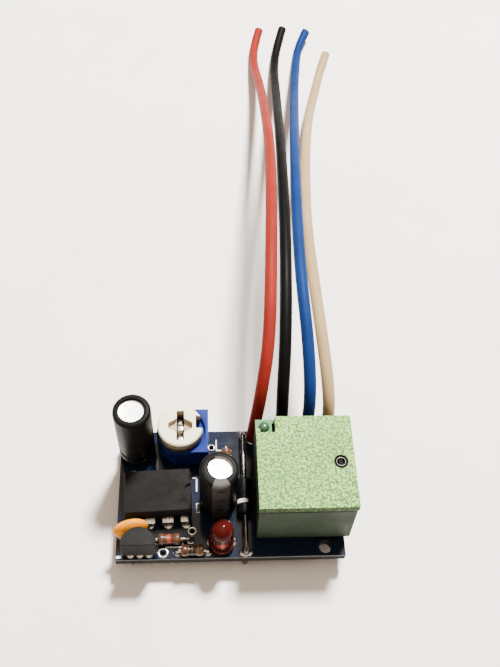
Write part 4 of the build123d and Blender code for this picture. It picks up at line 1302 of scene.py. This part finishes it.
@dataclass
class DippedCapacitor:
    """The dipped disc capacitor: a fat leaning lens with two skirts down its leads."""

    lean: float = 10.0
    turn: float = 15.0
    squat: float = 0.76
    slope: float = 12.0
    half_thickness: float = 0.86
    forward: float = 0.42
    drop: float = 0.95
    skirt_radius: float = 0.5
    skirt_foot: float = 0.28
    skirt_height: float = 1.6
    skirt_low: float = 0.25
    lead_inset: float = 0.25
    voxel: float = 0.09
    disc_radius: float = 1.6
    disc_thickness: float = 0.6
    disc_edge: float = 0.08

    def build(self) -> None:
        """Models the coat and the disc in it, and dresses them."""
        extent = Extent.of("ceramic_capacitor_coating")
        middle = extent.middle - Vector((0, self.forward, self.drop))
        radius = extent.size.x / 2
        bpy.ops.mesh.primitive_uv_sphere_add(segments=64, ring_count=32, radius=radius)
        coat = self.leant(named("dipped_coat"), middle, self.half_thickness / radius)
        disc = drum("fired_disc", (0, 0, -self.disc_thickness / 2), self.disc_radius, self.disc_thickness)
        self.leant(softened(disc, self.disc_edge), middle, 1)
        deliver(disc, FIRED, "ceramic_disc", "ceramic_capacitor_disc")
        combined(coat, "UNION", *self.skirts(middle, extent.low.z + self.skirt_low))
        modified(coat, "REMESH", mode="VOXEL", voxel_size=self.voxel)
        modified(coat, "SMOOTH", factor=0.6, iterations=9)
        choose(coat)
        bpy.ops.object.shade_smooth()
        deliver(coat, DIP, "orange_dip", "ceramic_capacitor_coating")

    def leant(self, piece: Piece, middle: Vector, thickness: float) -> Piece:
        """Squashes a round piece that lies flat, and stands it up at its slope, lean and turn.

        Args:
            piece: The piece, about the Z axis.
            middle: Where its centre goes.
            thickness: How much thicker it becomes.

        Returns:
            The same piece.
        """
        piece.scale = (1, self.squat, thickness)
        placed(settled(piece), (0, 0, 0), (0, 0, -self.slope))
        return placed(piece, middle, (90 - self.lean, 0, self.turn))

    def skirts(self, middle: Vector, low: float) -> list[Piece]:
        """The two cones of lacquer that ran down the leads.

        Args:
            middle: Centre of the coat.
            low: Height of the cones' middles.

        Returns:
            The cones.
        """
        half_pitch = Extent.of("ceramic_capacitor_leads").size.x / 2 - self.lead_inset
        lean, turn = math.tan(math.radians(self.lean)), math.tan(math.radians(self.turn))
        cones = []
        for across in (-half_pitch, half_pitch):
            bpy.ops.mesh.primitive_cone_add(vertices=32, radius1=self.skirt_foot,
                                            radius2=self.skirt_radius, depth=self.skirt_height)
            y = middle.y - (middle.z - low) * lean + across * turn
            cones.append(placed(named("skirt"), (middle.x + across, y, low), (-self.lean, 0, 0)))
        return cones


@dataclass
class UprightCapacitor:
    """An electrolytic capacitor: a can with a scored top in a shrunk sleeve.

    The groove's points are how far it goes in and how high it is on the side.
    """

    node: str
    facing: float
    half_angle: float = 32.0
    stripe: Colour = tone(54, 49, 45)
    crown: Colour = tone(20, 20, 20)
    rise: float = 0.0
    recess: float = 0.45
    rim_shift: tuple[float, float] = (0.0, 0.0)
    rim_radius: float = 1.85
    wall: float = 0.1
    shoulder: float = 0.45
    underfold: float = 0.6
    curl: float = 0.16
    lip: float = 0.14
    lip_wall: float = 0.1
    lip_gap: float = 0.02
    can_foot: float = 0.35
    can_bend: float = 0.05
    can_slack: float = 0.06
    can_gap: float = 0.005
    can_wall: float = 0.15
    lid: float = 0.08
    rim_grip: float = 0.13
    grip_depth: float = 0.2
    groove: Outline = (
        (0.0, 0.75), (0.02, 0.9), (0.12, 1.02), (0.26, 1.18), (0.31, 1.4), (0.26, 1.62),
        (0.12, 1.78), (0.02, 1.9), (0.0, 2.05))
    score_width: float = 0.14
    score_depth: float = 0.07
    score_inset: float = 0.25

    def build(self) -> None:
        """Models the sleeve and the can, and dresses them."""
        extent = Extent.of(f"{self.node}_sleeve")
        axis = extent.foot
        outer, height = extent.size.x / 2, extent.size.z + self.rise
        self.sleeve(axis, outer, height)
        self.can(axis, outer - self.wall, height - self.wall)

    def sleeve(self, axis: Vector, outer: float, height: float) -> None:
        """Models the shrunk sleeve, which curls over the can's two ends.

        Args:
            axis: Centre of its lower end.
            outer: Its outer radius.
            height: Its height.
        """
        wall, curl, lip, inner = self.wall, self.curl, self.lip, self.rim_radius + self.lip_wall
        side = [(outer - inward, wall + level) for inward, level in self.groove]
        bend = (outer - self.shoulder, height - self.shoulder)
        lip_foot = height - self.recess - self.lip_gap
        outline = [
            (outer - self.underfold, 0.0), *arc((outer - curl, curl), curl, -90, 0, 4), *side,
            *arc(bend, self.shoulder, 0, 85, 8),
            *arc((self.rim_radius + lip, height - lip), lip, 90, 180, 4),
            (self.rim_radius, lip_foot), (inner, lip_foot), (inner + self.lip_gap, height - curl),
            *arc(bend, self.shoulder - wall, 80, 0, 8),
            *[(radius - wall, level) for radius, level in reversed(side)],
            (outer - wall, 2 * wall), (outer - self.underfold, wall),
        ]
        piece = turned(f"{self.node}_shrunk_sleeve", outline, 96, closed=True)
        self.shift_rim(piece, height)
        placed(piece, axis)
        finish = Sleeve(f"{self.node}_sleeve_finish", tone(18, 18, 18), tone(13, 13, 13), roughness=0.42,
                        spread=0.08, grain=1.0, relief=0.015, mottle=0.6, dust=0.05, specular=0.03,
                        axis=tuple(axis), facing=self.facing, half_angle=self.half_angle,
                        stripe=self.stripe, crown=self.crown, crown_from=height - self.shoulder)
        deliver(smooth(piece, 50), finish, "black_sleeve", f"{self.node}_sleeve")

    def shift_rim(self, piece: Piece, height: float) -> None:
        """Moves the opening of the rim off the axis, as the sleeve has shrunk unevenly.

        Args:
            piece: The sleeve or the can, about the Z axis.
            height: Height of the rim.
        """
        with editing(piece):
            shift(piece, lambda vertex: vertex.co.z > height - self.recess - self.grip_depth
                  and vertex.co.to_2d().length < self.rim_radius + self.rim_grip,
                  (*self.rim_shift, 0))

    def can(self, axis: Vector, radius: float, height: float) -> None:
        """Models the can, whose flat top shows inside the sleeve's rim.

        Args:
            axis: Centre of the sleeve's lower end.
            radius: The can's radius.
            height: Height of its top above the sleeve's lower end.
        """
        wall, slack, inner = self.wall, self.can_slack, self.rim_radius + self.lip_wall
        side = [(radius - inward - self.can_gap, wall + level) for inward, level in self.groove]
        bend = (radius - self.shoulder, height - self.shoulder + wall / 2)
        lid = height - self.recess + self.lid
        outline = [
            (radius - self.can_foot, wall), (radius - self.can_bend, wall + slack), *side,
            *arc(bend, self.shoulder - slack, 0, 84, 6), (inner + self.lip_gap, height - slack),
            (inner, lid + self.lip_gap), (self.rim_radius - self.lip_wall, lid), (0, lid),
        ]
        piece = turned(f"{self.node}_drawn_can", outline, 96)
        modified(piece, "SOLIDIFY", thickness=self.can_wall, offset=-1)
        self.shift_rim(piece, height)
        placed(piece, axis)
        reach = self.rim_radius - self.score_inset
        for angle in (45, 135):
            score = block("score", (-reach, -self.score_width / 2, -self.score_depth),
                          (reach, self.score_width / 2, PAST))
            placed(score, axis + Vector((0, 0, lid)), (0, 0, angle))
            combined(piece, "DIFFERENCE", score)
        deliver(smooth(piece, 30), ALUMINIUM, "can_aluminium", f"{self.node}_can")


@dataclass
class Resistor:
    """A lacquered resistor: a body that is waisted between its two end caps, and painted rings.

    The profile runs from an end to the middle, as shares of the radius and of the half length.
    """

    node: str
    along: Along
    colour: Colour
    second: Colour
    bands: tuple[tuple[float, float, Colour], ...]
    profile: Outline = (
        (0.0, 1.0), (0.28, 1.0), (0.55, 0.985), (0.76, 0.95), (0.9, 0.885), (0.98, 0.8),
        (1.0, 0.7), (0.985, 0.58), (0.93, 0.47), (0.86, 0.38), (0.83, 0.28), (0.825, 0.0))

    def build(self) -> None:
        """Models the body and dresses it."""
        extent = Extent.of(f"{self.node}_body")
        half = extent.size[self.along.value] / 2
        radius = extent.size.z / 2
        one = [(radius * across, half * share) for across, share in self.profile]
        outline = one + [(across, -level) for across, level in reversed(one[:-1])]
        turn = {Along.X: (0, 90, 0), Along.Y: (-90, 0, 0)}[self.along]
        piece = placed(turned(f"{self.node}_dipped_body", outline, 48), extent.middle, turn)
        finish = Banded(f"{self.node}_lacquer", self.colour, self.second, roughness=0.28, grain=3.0,
                        relief=0.02, coat=0.12, mottle=1.1, specular=0.25, middle=tuple(extent.middle),
                        along=self.along, bands=self.bands)
        deliver(smooth(piece, 60), finish, "tan_body", f"{self.node}_body")


@dataclass
class Lamp:
    """The round lamp: a dyed lens with a flange, round the cup that carries the die."""

    flange_height: float = 1.0
    foot_edge: float = 0.12
    flange_edge: float = 0.15
    fillet: float = 0.08
    flat_depth: float = 0.3
    flat_over: float = 0.001
    lens_radius: float = 1.58
    rise: float = 0.6
    # Place and size of the lens's painted glow, forward of and above the middle of the lamp's foot
    glow_forward: float = 1.55
    glow_rise: float = 2.6
    glow_radius: float = 0.95

    def build(self) -> None:
        """Models the lens and the posts, and dresses them."""
        extent = Extent.of("led_lens")
        flange = extent.size.y / 2
        height = extent.size.z + self.rise
        axis = Vector((extent.low.x + flange, extent.middle.y, extent.low.z))
        dome = height - self.lens_radius
        foot, edge, root = self.foot_edge, self.flange_edge, self.lens_radius + self.fillet
        outline = [
            (0, 0), (flange - foot, 0), *arc((flange - foot, foot), foot, -90, 0, 3),
            *arc((flange - edge, self.flange_height - edge), edge, 0, 90, 4),
            (root, self.flange_height),
            *arc((root, self.flange_height + self.fillet), self.fillet, -90, -180, 4)[1:],
            (self.lens_radius, dome), *arc((0, dome), self.lens_radius, 0, 90, 16)[1:-1], (0, height),
        ]
        piece = placed(turned("lamp_lens", outline, 96), axis)
        over = self.flange_height + self.flat_over
        flat = block("flat", axis + Vector((flange - self.flat_depth, -2 * flange, -PAST)),
                     axis + Vector((2 * flange, 2 * flange, over)))
        combined(piece, "DIFFERENCE", flat)
        finish = Lens("lamp_red", tone(62, 16, 14), tone(54, 13, 11), roughness=0.1, spread=0.04,
                      grain=1.5, relief=0.004, dust=0.05, specular=0.03,
                      glow_place=(axis.x, axis.y - self.glow_forward, axis.z + self.glow_rise),
                      glow_radius=self.glow_radius)
        deliver(smooth(piece, 35), finish, "red_lens", "led_lens")
        deliver(recast("led_leads", "lamp_posts", LEAD_EDGE), TINNED, "tinned_lead", "led_leads")


@dataclass
class Diode:
    """The rectifier diode: a moulded barrel with a white band, bright on its lit half as a painted
    highlight and left black on its other half as painted shade.
    """

    nose: float = 0.22
    collar: float = 0.5
    collar_edge: float = 0.05
    dish: float = 0.03
    front_dish: float = 0.04
    seam: float = 0.05
    seam_depth: float = 0.02
    band_start: float = 1.5
    band_width: float = 0.55

    def build(self) -> None:
        """Models the barrel and dresses it."""
        extent = Extent.of("diode_body")
        radius, half = extent.size.z / 2, extent.size.y / 2
        nose, shoulder, rim = self.nose, radius - self.nose, self.collar + self.collar_edge
        outline = [
            (0, -half), (self.collar, -half), (rim, -half + self.dish),
            (shoulder, -half + self.front_dish), *arc((shoulder, -half + nose), nose, -90, 0, 4)[1:],
            (radius, -self.seam), (radius - self.seam_depth, 0.0), (radius, self.seam),
            *arc((shoulder, half - nose), nose, 0, 90, 4),
            (rim, half - self.dish), (self.collar, half), (0, half),
        ]
        piece = placed(turned("diode_barrel", outline, 64), extent.middle, (-90, 0, 0))
        front = -half + self.band_start
        finish = Banded("diode_barrel_finish", tone(15, 15, 15), tone(11, 11, 11), roughness=0.36,
                        grain=7.0, dust=0.1, specular=0.2, middle=tuple(extent.middle),
                        along=Along.Y, lit_band_until=0.35,
                        bands=((front, front + self.band_width, tone(250, 250, 248)),))
        deliver(smooth(piece, 40), finish, "black_epoxy", "diode_body")


@dataclass
class Trimmer:
    """The trimmer: a blue base with a wing, a cream rotor with a crossed slot, and its wiper.

    The wiper's points are along Y and up: the feet's inward from its tips and from its lowest
    place, the shoulders' inward from its tips and from its highest place, and the crown's out
    from its middle and from its highest place.
    """

    base_edge: float = 0.12
    rotor_edge: float = 0.12
    wiper_width: float = 0.8
    wiper_thickness: float = 0.16
    wiper_edge: float = 0.03
    feet: Outline = ((0.28, 0.0), (0.06, 0.06), (0.02, 0.35))
    shoulders: Outline = ((0.02, -0.25), (0.2, -0.04), (0.75, 0.0))
    crown: Outline = ((0.95, 0.04), (0.78, 0.2), (0.62, 0.62), (0.36, 0.86))
    crown_height: float = 0.92

    def build(self) -> None:
        """Models the base, the rotor and the wiper, and dresses them."""
        deliver(recast("trimmer_base", "trimmer_housing", self.base_edge, 3), BLUE, "blue_base",
                "trimmer_base")
        deliver(recast("trimmer_rotor", "trimmer_dial", self.rotor_edge, 3), CREAM, "cream_rotor",
                "trimmer_rotor", body=Body.ROTOR)
        deliver(self.wiper(), TINNED, "tinned_lead", "trimmer_wiper", body=Body.ROTOR)

    def wiper(self) -> Piece:
        """The sprung strip: two feet on the track and a crown that shows in the rotor's slot."""
        extent = Extent.of("trimmer_wiper")
        reach, top = extent.size.y / 2, extent.high.z
        half = [*((reach - y, extent.low.z + z) for y, z in self.feet),
                *((reach - y, top + z) for y, z in self.shoulders),
                *((y, top + z) for y, z in self.crown)]
        path = [*((-y, z) for y, z in half), (0.0, top + self.crown_height), *half[::-1]]
        piece = ribbon("trimmer_wiper_spring", path, self.wiper_width)
        modified(piece, "SOLIDIFY", thickness=self.wiper_thickness, offset=0)
        placed(piece, (extent.middle.x, extent.middle.y, 0))
        return softened(piece, self.wiper_edge, 2)


def ribbon(name: str, path: Sequence[tuple[float, float]], width: float) -> Piece:
    """A strip that runs along (Y, Z) points, with its width along X.

    Args:
        name: Name of the new piece.
        path: The points that it follows.
        width: Its width.

    Returns:
        The strip, one face thick.
    """
    y, z = path[0]
    bpy.ops.mesh.primitive_plane_add(size=1, location=(0, 0, 0))
    piece = named(name)
    with editing(piece):
        pick(piece, lambda vertex: vertex.co.y > 0)
        bpy.ops.mesh.delete(type="VERT")
        select_all()
        bpy.ops.transform.resize(value=(width, 0, 1), center_override=(0, 0, 0))
        bpy.ops.transform.translate(value=(0, y, z))
        for next_y, next_z in path[1:]:
            extrude((0, next_y - y, next_z - z))
            y, z = next_y, next_z
        select_all()
        bpy.ops.mesh.normals_make_consistent(inside=False)
    return piece


@dataclass
class Relay:
    """The sealed relay's cover, with its top band, corner notch, vent nub and ringed dot."""

    wall: float = 0.6
    band_height: float = 1.3
    band_proud: float = 0.1
    front_draft: float = 0.45
    room_draft: float = 0.26
    notch_width: float = 2.65
    notch_depth: float = 2.4
    notch_drop: float = 1.0
    slit_width: float = 0.36
    slit_depth: float = 0.4
    slit_inset: float = 0.1
    nub_radius: float = 0.72
    nub_height: float = 0.6
    nub_shift: float = 0.12
    nub_side: float = 0.35
    nub_sunk: float = 0.05
    nub_foot: float = 0.06
    nub_step: float = 0.02
    dot_from_right: float = 1.93
    dot_from_front: float = 6.94
    dot_radius: float = 0.94
    dot_depth: float = 0.25
    ring_outer: float = 0.64
    ring_inner: float = 0.55
    ring_drop: float = 0.03
    edge: float = 0.16

    def build(self) -> None:
        """Models the cover and dresses it."""
        extent = Extent.of("relay_cover")
        low, high = extent.low, extent.high
        dot = (high.x - self.dot_from_right, low.y + self.dot_from_front, high.z)
        cover = self.shell(low, high)
        self.sink_dot(cover, dot)
        softened(cover, self.edge, 4)
        deliver(smooth(self.nub(low, high)), NUB_GREEN, "green_cover")
        finish = GrainedCover(
            "cover_moulding", tone(68, 112, 62), tone(98, 144, 82), roughness=0.62, spread=0.16,
            grain=2.9, relief=0.03, mottle=0.16, dust=0.05, specular=0.05,
            band_floor=high.z - self.band_height, ledge_below=high.z - self.notch_drop / 2,
            dot=dot, dot_radius=self.dot_radius, ring_outer=self.ring_outer,
            ring_inner=self.ring_inner)
        deliver(cover, finish, "green_cover", "relay_cover")

    def shell(self, low: Vector, high: Vector) -> Piece:
        """The hollow cover with its notch, before its edges are rounded.

        Args:
            low: Lowest corner of the cover.
            high: Highest corner of the cover.

        Returns:
            The shell.
        """
        proud = Vector((self.band_proud, self.band_proud, 0))
        band_floor = high.z - self.band_height
        middle = (low + high) / 2
        body_size = high - low - 2 * proud
        piece = block("relay_moulding", low + proud,
                      (high.x - proud.x, high.y - proud.y, band_floor))
        widen = ((body_size.x + 2 * proud.x) / body_size.x, (body_size.y + 2 * proud.y) / body_size.y, 1)
        with editing(piece):
            pick(piece, lambda vertex: vertex.co.z > band_floor - MERGE)
            extrude((0, 0, 0))
            bpy.ops.transform.resize(value=widen, center_override=(middle.x, middle.y, band_floor))
            extrude((0, 0, self.band_height))
            select_all()
            bpy.ops.mesh.normals_make_consistent(inside=False)
            shift(piece, lambda vertex: vertex.co.y < middle.y and vertex.co.z > band_floor - MERGE,
                  (0, self.front_draft, 0))
            shift(piece, lambda vertex: vertex.co.y < middle.y and vertex.co.z < band_floor - MERGE,
                  (0, -self.band_proud, 0))
        wall = self.wall
        right, front = low.x + self.notch_width, high.y - self.notch_depth
        floor = high.z - self.notch_drop
        room = block("room", (low.x + wall, low.y + wall, low.z - PAST),
                     (high.x - wall, high.y - wall, high.z - wall))
        with editing(room):
            shift(room, lambda vertex: vertex.co.y < middle.y and vertex.co.z > middle.z,
                  (0, self.room_draft, 0))
        corner = block("corner", (low.x, front - wall, floor - wall),
                       (right + wall, high.y, high.z + PAST))
        combined(room, "DIFFERENCE", corner)
        outside = (right, high.y + PAST, high.z + PAST)
        notch = block("notch", (low.x + wall, front, floor), outside)
        slit = block("slit", (right - self.slit_width, front + self.slit_inset, floor - self.slit_depth),
                     (right, high.y - wall, high.z + PAST))
        open_side = block("open_side", (low.x - PAST, front + wall, floor), outside)
        return combined(piece, "DIFFERENCE", room, notch, open_side, slit)

    def sink_dot(self, cover: Piece, dot: Point) -> None:
        """Sinks the round dot into the cover's top and leaves a ring standing in it.

        Args:
            cover: The cover.
            dot: Centre of the dot, on the top.
        """
        x, y, top = dot
        well = drum("well", (x, y, top - self.dot_depth), self.dot_radius, PAST, 72)
        foot = top - 2 * self.dot_depth
        ring = drum("ring", (x, y, foot), self.ring_outer, top - foot - self.ring_drop)
        hole = drum("hole", (x, y, foot - PAST), self.ring_inner, top - foot + 2 * PAST)
        combined(ring, "DIFFERENCE", hole)
        combined(combined(cover, "DIFFERENCE", well), "UNION", ring)

    def nub(self, low: Vector, high: Vector) -> Piece:
        """The domed vent nub that stands in the notch.

        Args:
            low: Lowest corner of the cover.
            high: Highest corner of the cover.

        Returns:
            The nub.
        """
        floor = high.z - self.notch_drop
        radius, height, side = self.nub_radius, self.nub_height, self.nub_side
        dome = [(radius * math.cos(math.radians(a)),
                 height * (side + (1 - side) * math.sin(math.radians(a)))) for a in range(0, 90, 10)]
        foot, step = radius + self.nub_foot, self.nub_step
        piece = turned("relay_vent_nub", [(0, -self.nub_sunk), (foot, -self.nub_sunk), (foot, step),
                                          (radius, step + self.nub_foot), *dome, (0, height)], 48)
        x = low.x + self.notch_width / 2 - self.nub_shift
        return placed(piece, (x, high.y - self.notch_depth / 2, floor))


# Where each wire leaves the board, along X, in the board's own coordinates
WIRE_HOLES = {"red": 19.3, "black": 23.5, "blue": 27.2, "white": 30.3}

# Distance of every wire's hole from the board's front edge, and height of its cut insulation
WIRE_Y = 17.91
WIRE_START = 4.3

# Height of a wire's centre line where it lies on the table
WIRE_REST = 0.95

# The part's origin in the board's own coordinates, which run from its front left corner
ORIGIN = Vector((16.045, 10.39, 0.0))

# The points that each wire follows after its hole
WIRE_POINTS: dict[str, list[Point]] = {
    "red": [
        (19.5, 17.95, 8.9), (20.2, 19.7, 14.2), (21.3, 25.2, 19.4), (21.9, 35.5, 22.2),
        (22.8, 50.5, 21.3), (23.7, 67.0, 17.0), (23.9, 83.0, 11.0), (23.9, 96.5, 5.3),
        (23.3, 107.5, 1.5), (23.6, 114.2, WIRE_REST), (24.9, 118.3, 2.3),
    ],
    "black": [
        (23.4, 17.95, 8.9), (23.3, 20.1, 14.0), (23.7, 26.0, 18.6), (24.2, 36.5, 21.2),
        (24.9, 51.5, 20.0), (25.7, 67.5, 15.6), (26.5, 83.0, 9.8), (27.2, 96.0, 4.6),
        (27.6, 106.5, 1.3), (28.6, 114.0, WIRE_REST), (30.1, 118.9, 2.3),
    ],
    "blue": [
        (27.2, 17.95, 8.8), (27.3, 20.2, 13.7), (27.0, 26.5, 17.9), (26.4, 37.0, 20.2),
        (27.0, 52.5, 18.9), (28.3, 69.0, 14.4), (29.8, 84.0, 8.6), (31.1, 96.8, 3.8),
        (32.5, 108.5, 1.1), (33.4, 114.4, WIRE_REST), (35.3, 118.2, 2.2),
    ],
    "white": [
        (30.2, 17.95, 8.5), (30.1, 20.4, 12.9), (29.4, 27.3, 16.0), (28.8, 38.0, 16.9),
        (28.9, 51.0, 14.9), (30.2, 66.0, 11.4), (31.9, 79.5, 7.4), (34.0, 91.5, 3.2),
        (36.4, 101.5, 1.1), (37.7, 107.0, WIRE_REST), (39.2, 111.3, 1.6),
    ],
}


@dataclass
class Wire:
    """A free wire: its insulation along the route, and the strands that show at its cut end."""

    name: str
    colour: Colour
    second: Colour
    length: float
    diameter: float = 1.8
    strand_radius: float = 0.145
    strand_ring: float = 0.3
    strand_length: float = 0.5
    strand_sunk: float = 0.3
    strand_edge: float = 0.04

    def build(self) -> None:
        start = (WIRE_HOLES[self.name], WIRE_Y, WIRE_START)
        route = [(Vector(point) - ORIGIN) * MM for point in (start, *WIRE_POINTS[self.name])]
        curve = bpy.data.curves.new(f"{self.name}_insulation", "CURVE")
        curve.dimensions = "3D"
        spline = curve.splines.new("NURBS")
        spline.points.add(len(route) - 1)
        for place, point in zip(spline.points, route):
            place.co = (*point, 1)
        spline.order_u = 3
        spline.use_endpoint_u = True
        spline.resolution_u = 16
        curve.bevel_depth = self.diameter / 2 * MM
        curve.bevel_resolution = 6
        curve.use_fill_caps = True
        wire = linked(f"{self.name}_insulation", curve)
        finish = Finish(f"{self.name}_insulation_finish", self.colour, self.second, roughness=0.5,
                        spread=0.1, grain=1.6, relief=0.01, mottle=0.14, dust=0.05, specular=0.04)
        handed_over(wire, finish, f"{self.name}_insulation", f"{self.name}_wire")
        strands = self.strands(route[-1] / MM, (route[-1] - route[-2]).normalized())
        deliver(strands, STRANDS, "copper_strands", "wire_end_strands")

    def strands(self, end: Vector, along: Vector) -> Piece:
        """The cut core: one strand with six round it.

        Args:
            end: Where the insulation ends.
            along: The wire's direction there.

        Returns:
            The bundle.
        """
        radius, length = self.strand_radius, self.strand_length
        sunk, edge = self.strand_sunk, self.strand_edge
        first = turned("strand", [(0, -sunk), (radius, -sunk), (radius, length - edge),
                                  (radius - edge, length), (0, length)], 12)
        bundle = [first]
        for order in range(6):
            angle = FULL_TURN * order / 6
            around = (self.strand_ring * math.cos(angle), self.strand_ring * math.sin(angle), 0)
            bundle.append(placed(twin(first), around))
        piece = joined(f"{self.name}_strands", bundle)
        turn = along.to_track_quat("Z", "Y").to_euler()
        placed(piece, end, [math.degrees(angle) for angle in turn])
        return smooth(piece, 40)


@dataclass
class Studio:
    """The white paper, the light and the camera at the photograph's viewing angle."""

    focal_pixels: float = 800.0
    long_side_pixels: float = 667.0
    sensor: float = 36.0
    yaw: float = 6.18
    pitch: float = 56.33
    roll: float = 4.80
    eye: Point = (-4.055, -45.32, 112.33)
    lamp: Point = (120.0, 260.0, 500.0)
    lamp_size: float = 90.0
    lamp_power: float = 15.0
    fill: Colour = (1.0, 0.8, 0.62)
    fill_overhead: float = 2.4
    fill_low: float = 0.06
    fill_gather: float = 5.0
    backdrop: float = 0.35
    floor_size: float = 4000.0
    floor_gap: float = 0.02

    def build(self) -> None:
        """Sets up the floor, the light and the camera."""
        self.floor()
        self.light()
        self.camera()

    def floor(self) -> None:
        """A wide sheet of white paper under the part."""
        bpy.ops.mesh.primitive_plane_add(size=self.floor_size * MM,
                                         location=(0, 0, -self.floor_gap * MM))
        paper = settled(named("paper"))
        finish = Finish("white_paper", tone(250, 248, 246), tone(246, 243, 240), roughness=0.85,
                        grain=2.0, relief=0.01, mottle=0.05, dust=0.0, specular=0.2)
        finish.put_on(paper.data)

    def light(self) -> None:
        """One soft lamp behind and above, and a warm sky that is brightest overhead."""
        data = bpy.data.lights.new("key", "AREA")
        data.energy = self.lamp_power
        data.shape = "DISK"
        data.size = self.lamp_size * MM
        data.color = (1.0, 0.97, 0.93)
        lamp = linked("key", data)
        lamp.location = Vector(self.lamp) * MM
        lamp.rotation_euler = (-Vector(self.lamp)).to_track_quat("-Z", "Y").to_euler()
        world = bpy.data.worlds.new("sky")
        world.use_nodes = True
        graph = Graph(world.node_tree)
        sky = world.node_tree.nodes["Background"]
        toward = graph.split(graph.add("TexCoord").outputs["Generated"])
        height = graph.math("POWER", graph.math("MAXIMUM", toward[2], 0.0), self.fill_gather)
        light = graph.math("ADD", graph.math("MULTIPLY", height, self.fill_overhead), self.fill_low)
        seen = graph.add("LightPath").outputs["Is Camera Ray"]
        graph.feed(sky.inputs[0], self.fill)
        graph.feed(sky.inputs[1], graph.math("MAXIMUM", light, graph.math("MULTIPLY", seen, self.backdrop)))
        bpy.context.scene.world = world

    def camera(self) -> None:
        """The camera, from the fit to the board's and the relay's corners."""
        data = bpy.data.cameras.new("camera")
        data.sensor_width = self.sensor
        data.lens = self.focal_pixels / self.long_side_pixels * data.sensor_width
        data.clip_start = 0.01
        data.clip_end = 20
        camera = linked("camera", data)
        yaw, pitch, roll = (math.radians(angle) for angle in (self.yaw, self.pitch, self.roll))
        ahead = Vector((math.sin(yaw) * math.cos(pitch), math.cos(yaw) * math.cos(pitch),
                        -math.sin(pitch)))
        level = Vector((math.cos(yaw), -math.sin(yaw), 0))
        upright = level.cross(ahead)
        right = math.cos(roll) * level + math.sin(roll) * upright
        up = math.cos(roll) * upright - math.sin(roll) * level
        turn = Matrix((right, up, -ahead)).transposed()
        camera.matrix_world = Matrix.Translation(Vector(self.eye) * MM) @ turn.to_4x4()
        bpy.context.scene.camera = camera


def dress_carried_over() -> None:
    """Gives each node that stays as it is the finish of its real piece."""
    for node, finish in CARRIED_OVER.items():
        finish.put_on(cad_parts[node].data)
        log.info("%s carried over in %s", node, finish.name)


def assemblies() -> list[object]:
    """Every sub-assembly of the relay board, in the order of building."""
    tan, amber = tone(90, 58, 39), tone(57, 42, 30)
    brown, dark = tone(64, 36, 24), tone(20, 14, 12)
    orange_red, maroon = tone(142, 54, 30), tone(76, 22, 14)
    gold = tone(96, 78, 46)
    return [
        Board(), TimerChip(), Transistor(), DippedCapacitor(),
        UprightCapacitor("timing_capacitor", facing=205.0, half_angle=36.0, rise=0.45,
                         rim_shift=(-0.06, 0.03), rim_radius=1.74),
        # The supply can's paler crown is a painted reflection on its stripe's shoulder
        UprightCapacitor("supply_capacitor", facing=-83.0, half_angle=27.0, stripe=tone(50, 46, 44),
                         crown=tone(82, 80, 78), rim_shift=(0.27, 0.34), rim_radius=1.68),
        Trimmer(), Lamp(), Diode(),
        Resistor("feed_resistor", Along.X, tan, amber,
                 ((-0.72, -0.42, amber), (-0.2, 0.22, orange_red), (0.42, 0.62, maroon))),
        Resistor("led_resistor", Along.X, tan, amber,
                 ((-1.2, -0.7, brown), (-0.4, -0.1, dark), (0.15, 0.45, dark), (0.7, 0.9, gold))),
        Resistor("base_resistor", Along.Y, tan, amber,
                 ((-0.9, -0.6, brown), (-0.2, 0.1, orange_red), (0.5, 0.75, gold))),
        Relay(),
        Wire("red", tone(128, 37, 30), tone(117, 32, 26), 114.8),
        Wire("black", tone(12, 12, 12), tone(10, 10, 10), 114.1),
        Wire("blue", tone(21, 47, 98), tone(18, 41, 88), 112.8),
        Wire("white", tone(164, 140, 103), tone(153, 129, 94), 103.6),
        Studio(),
    ]


def main() -> None:
    """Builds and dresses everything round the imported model."""
    logging.basicConfig(level=logging.INFO, format="%(message)s")
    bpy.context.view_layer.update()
    dress_carried_over()
    for assembly in assemblies():
        assembly.build()
    bpy.context.view_layer.update()


if __name__ == "__main__":
    main()
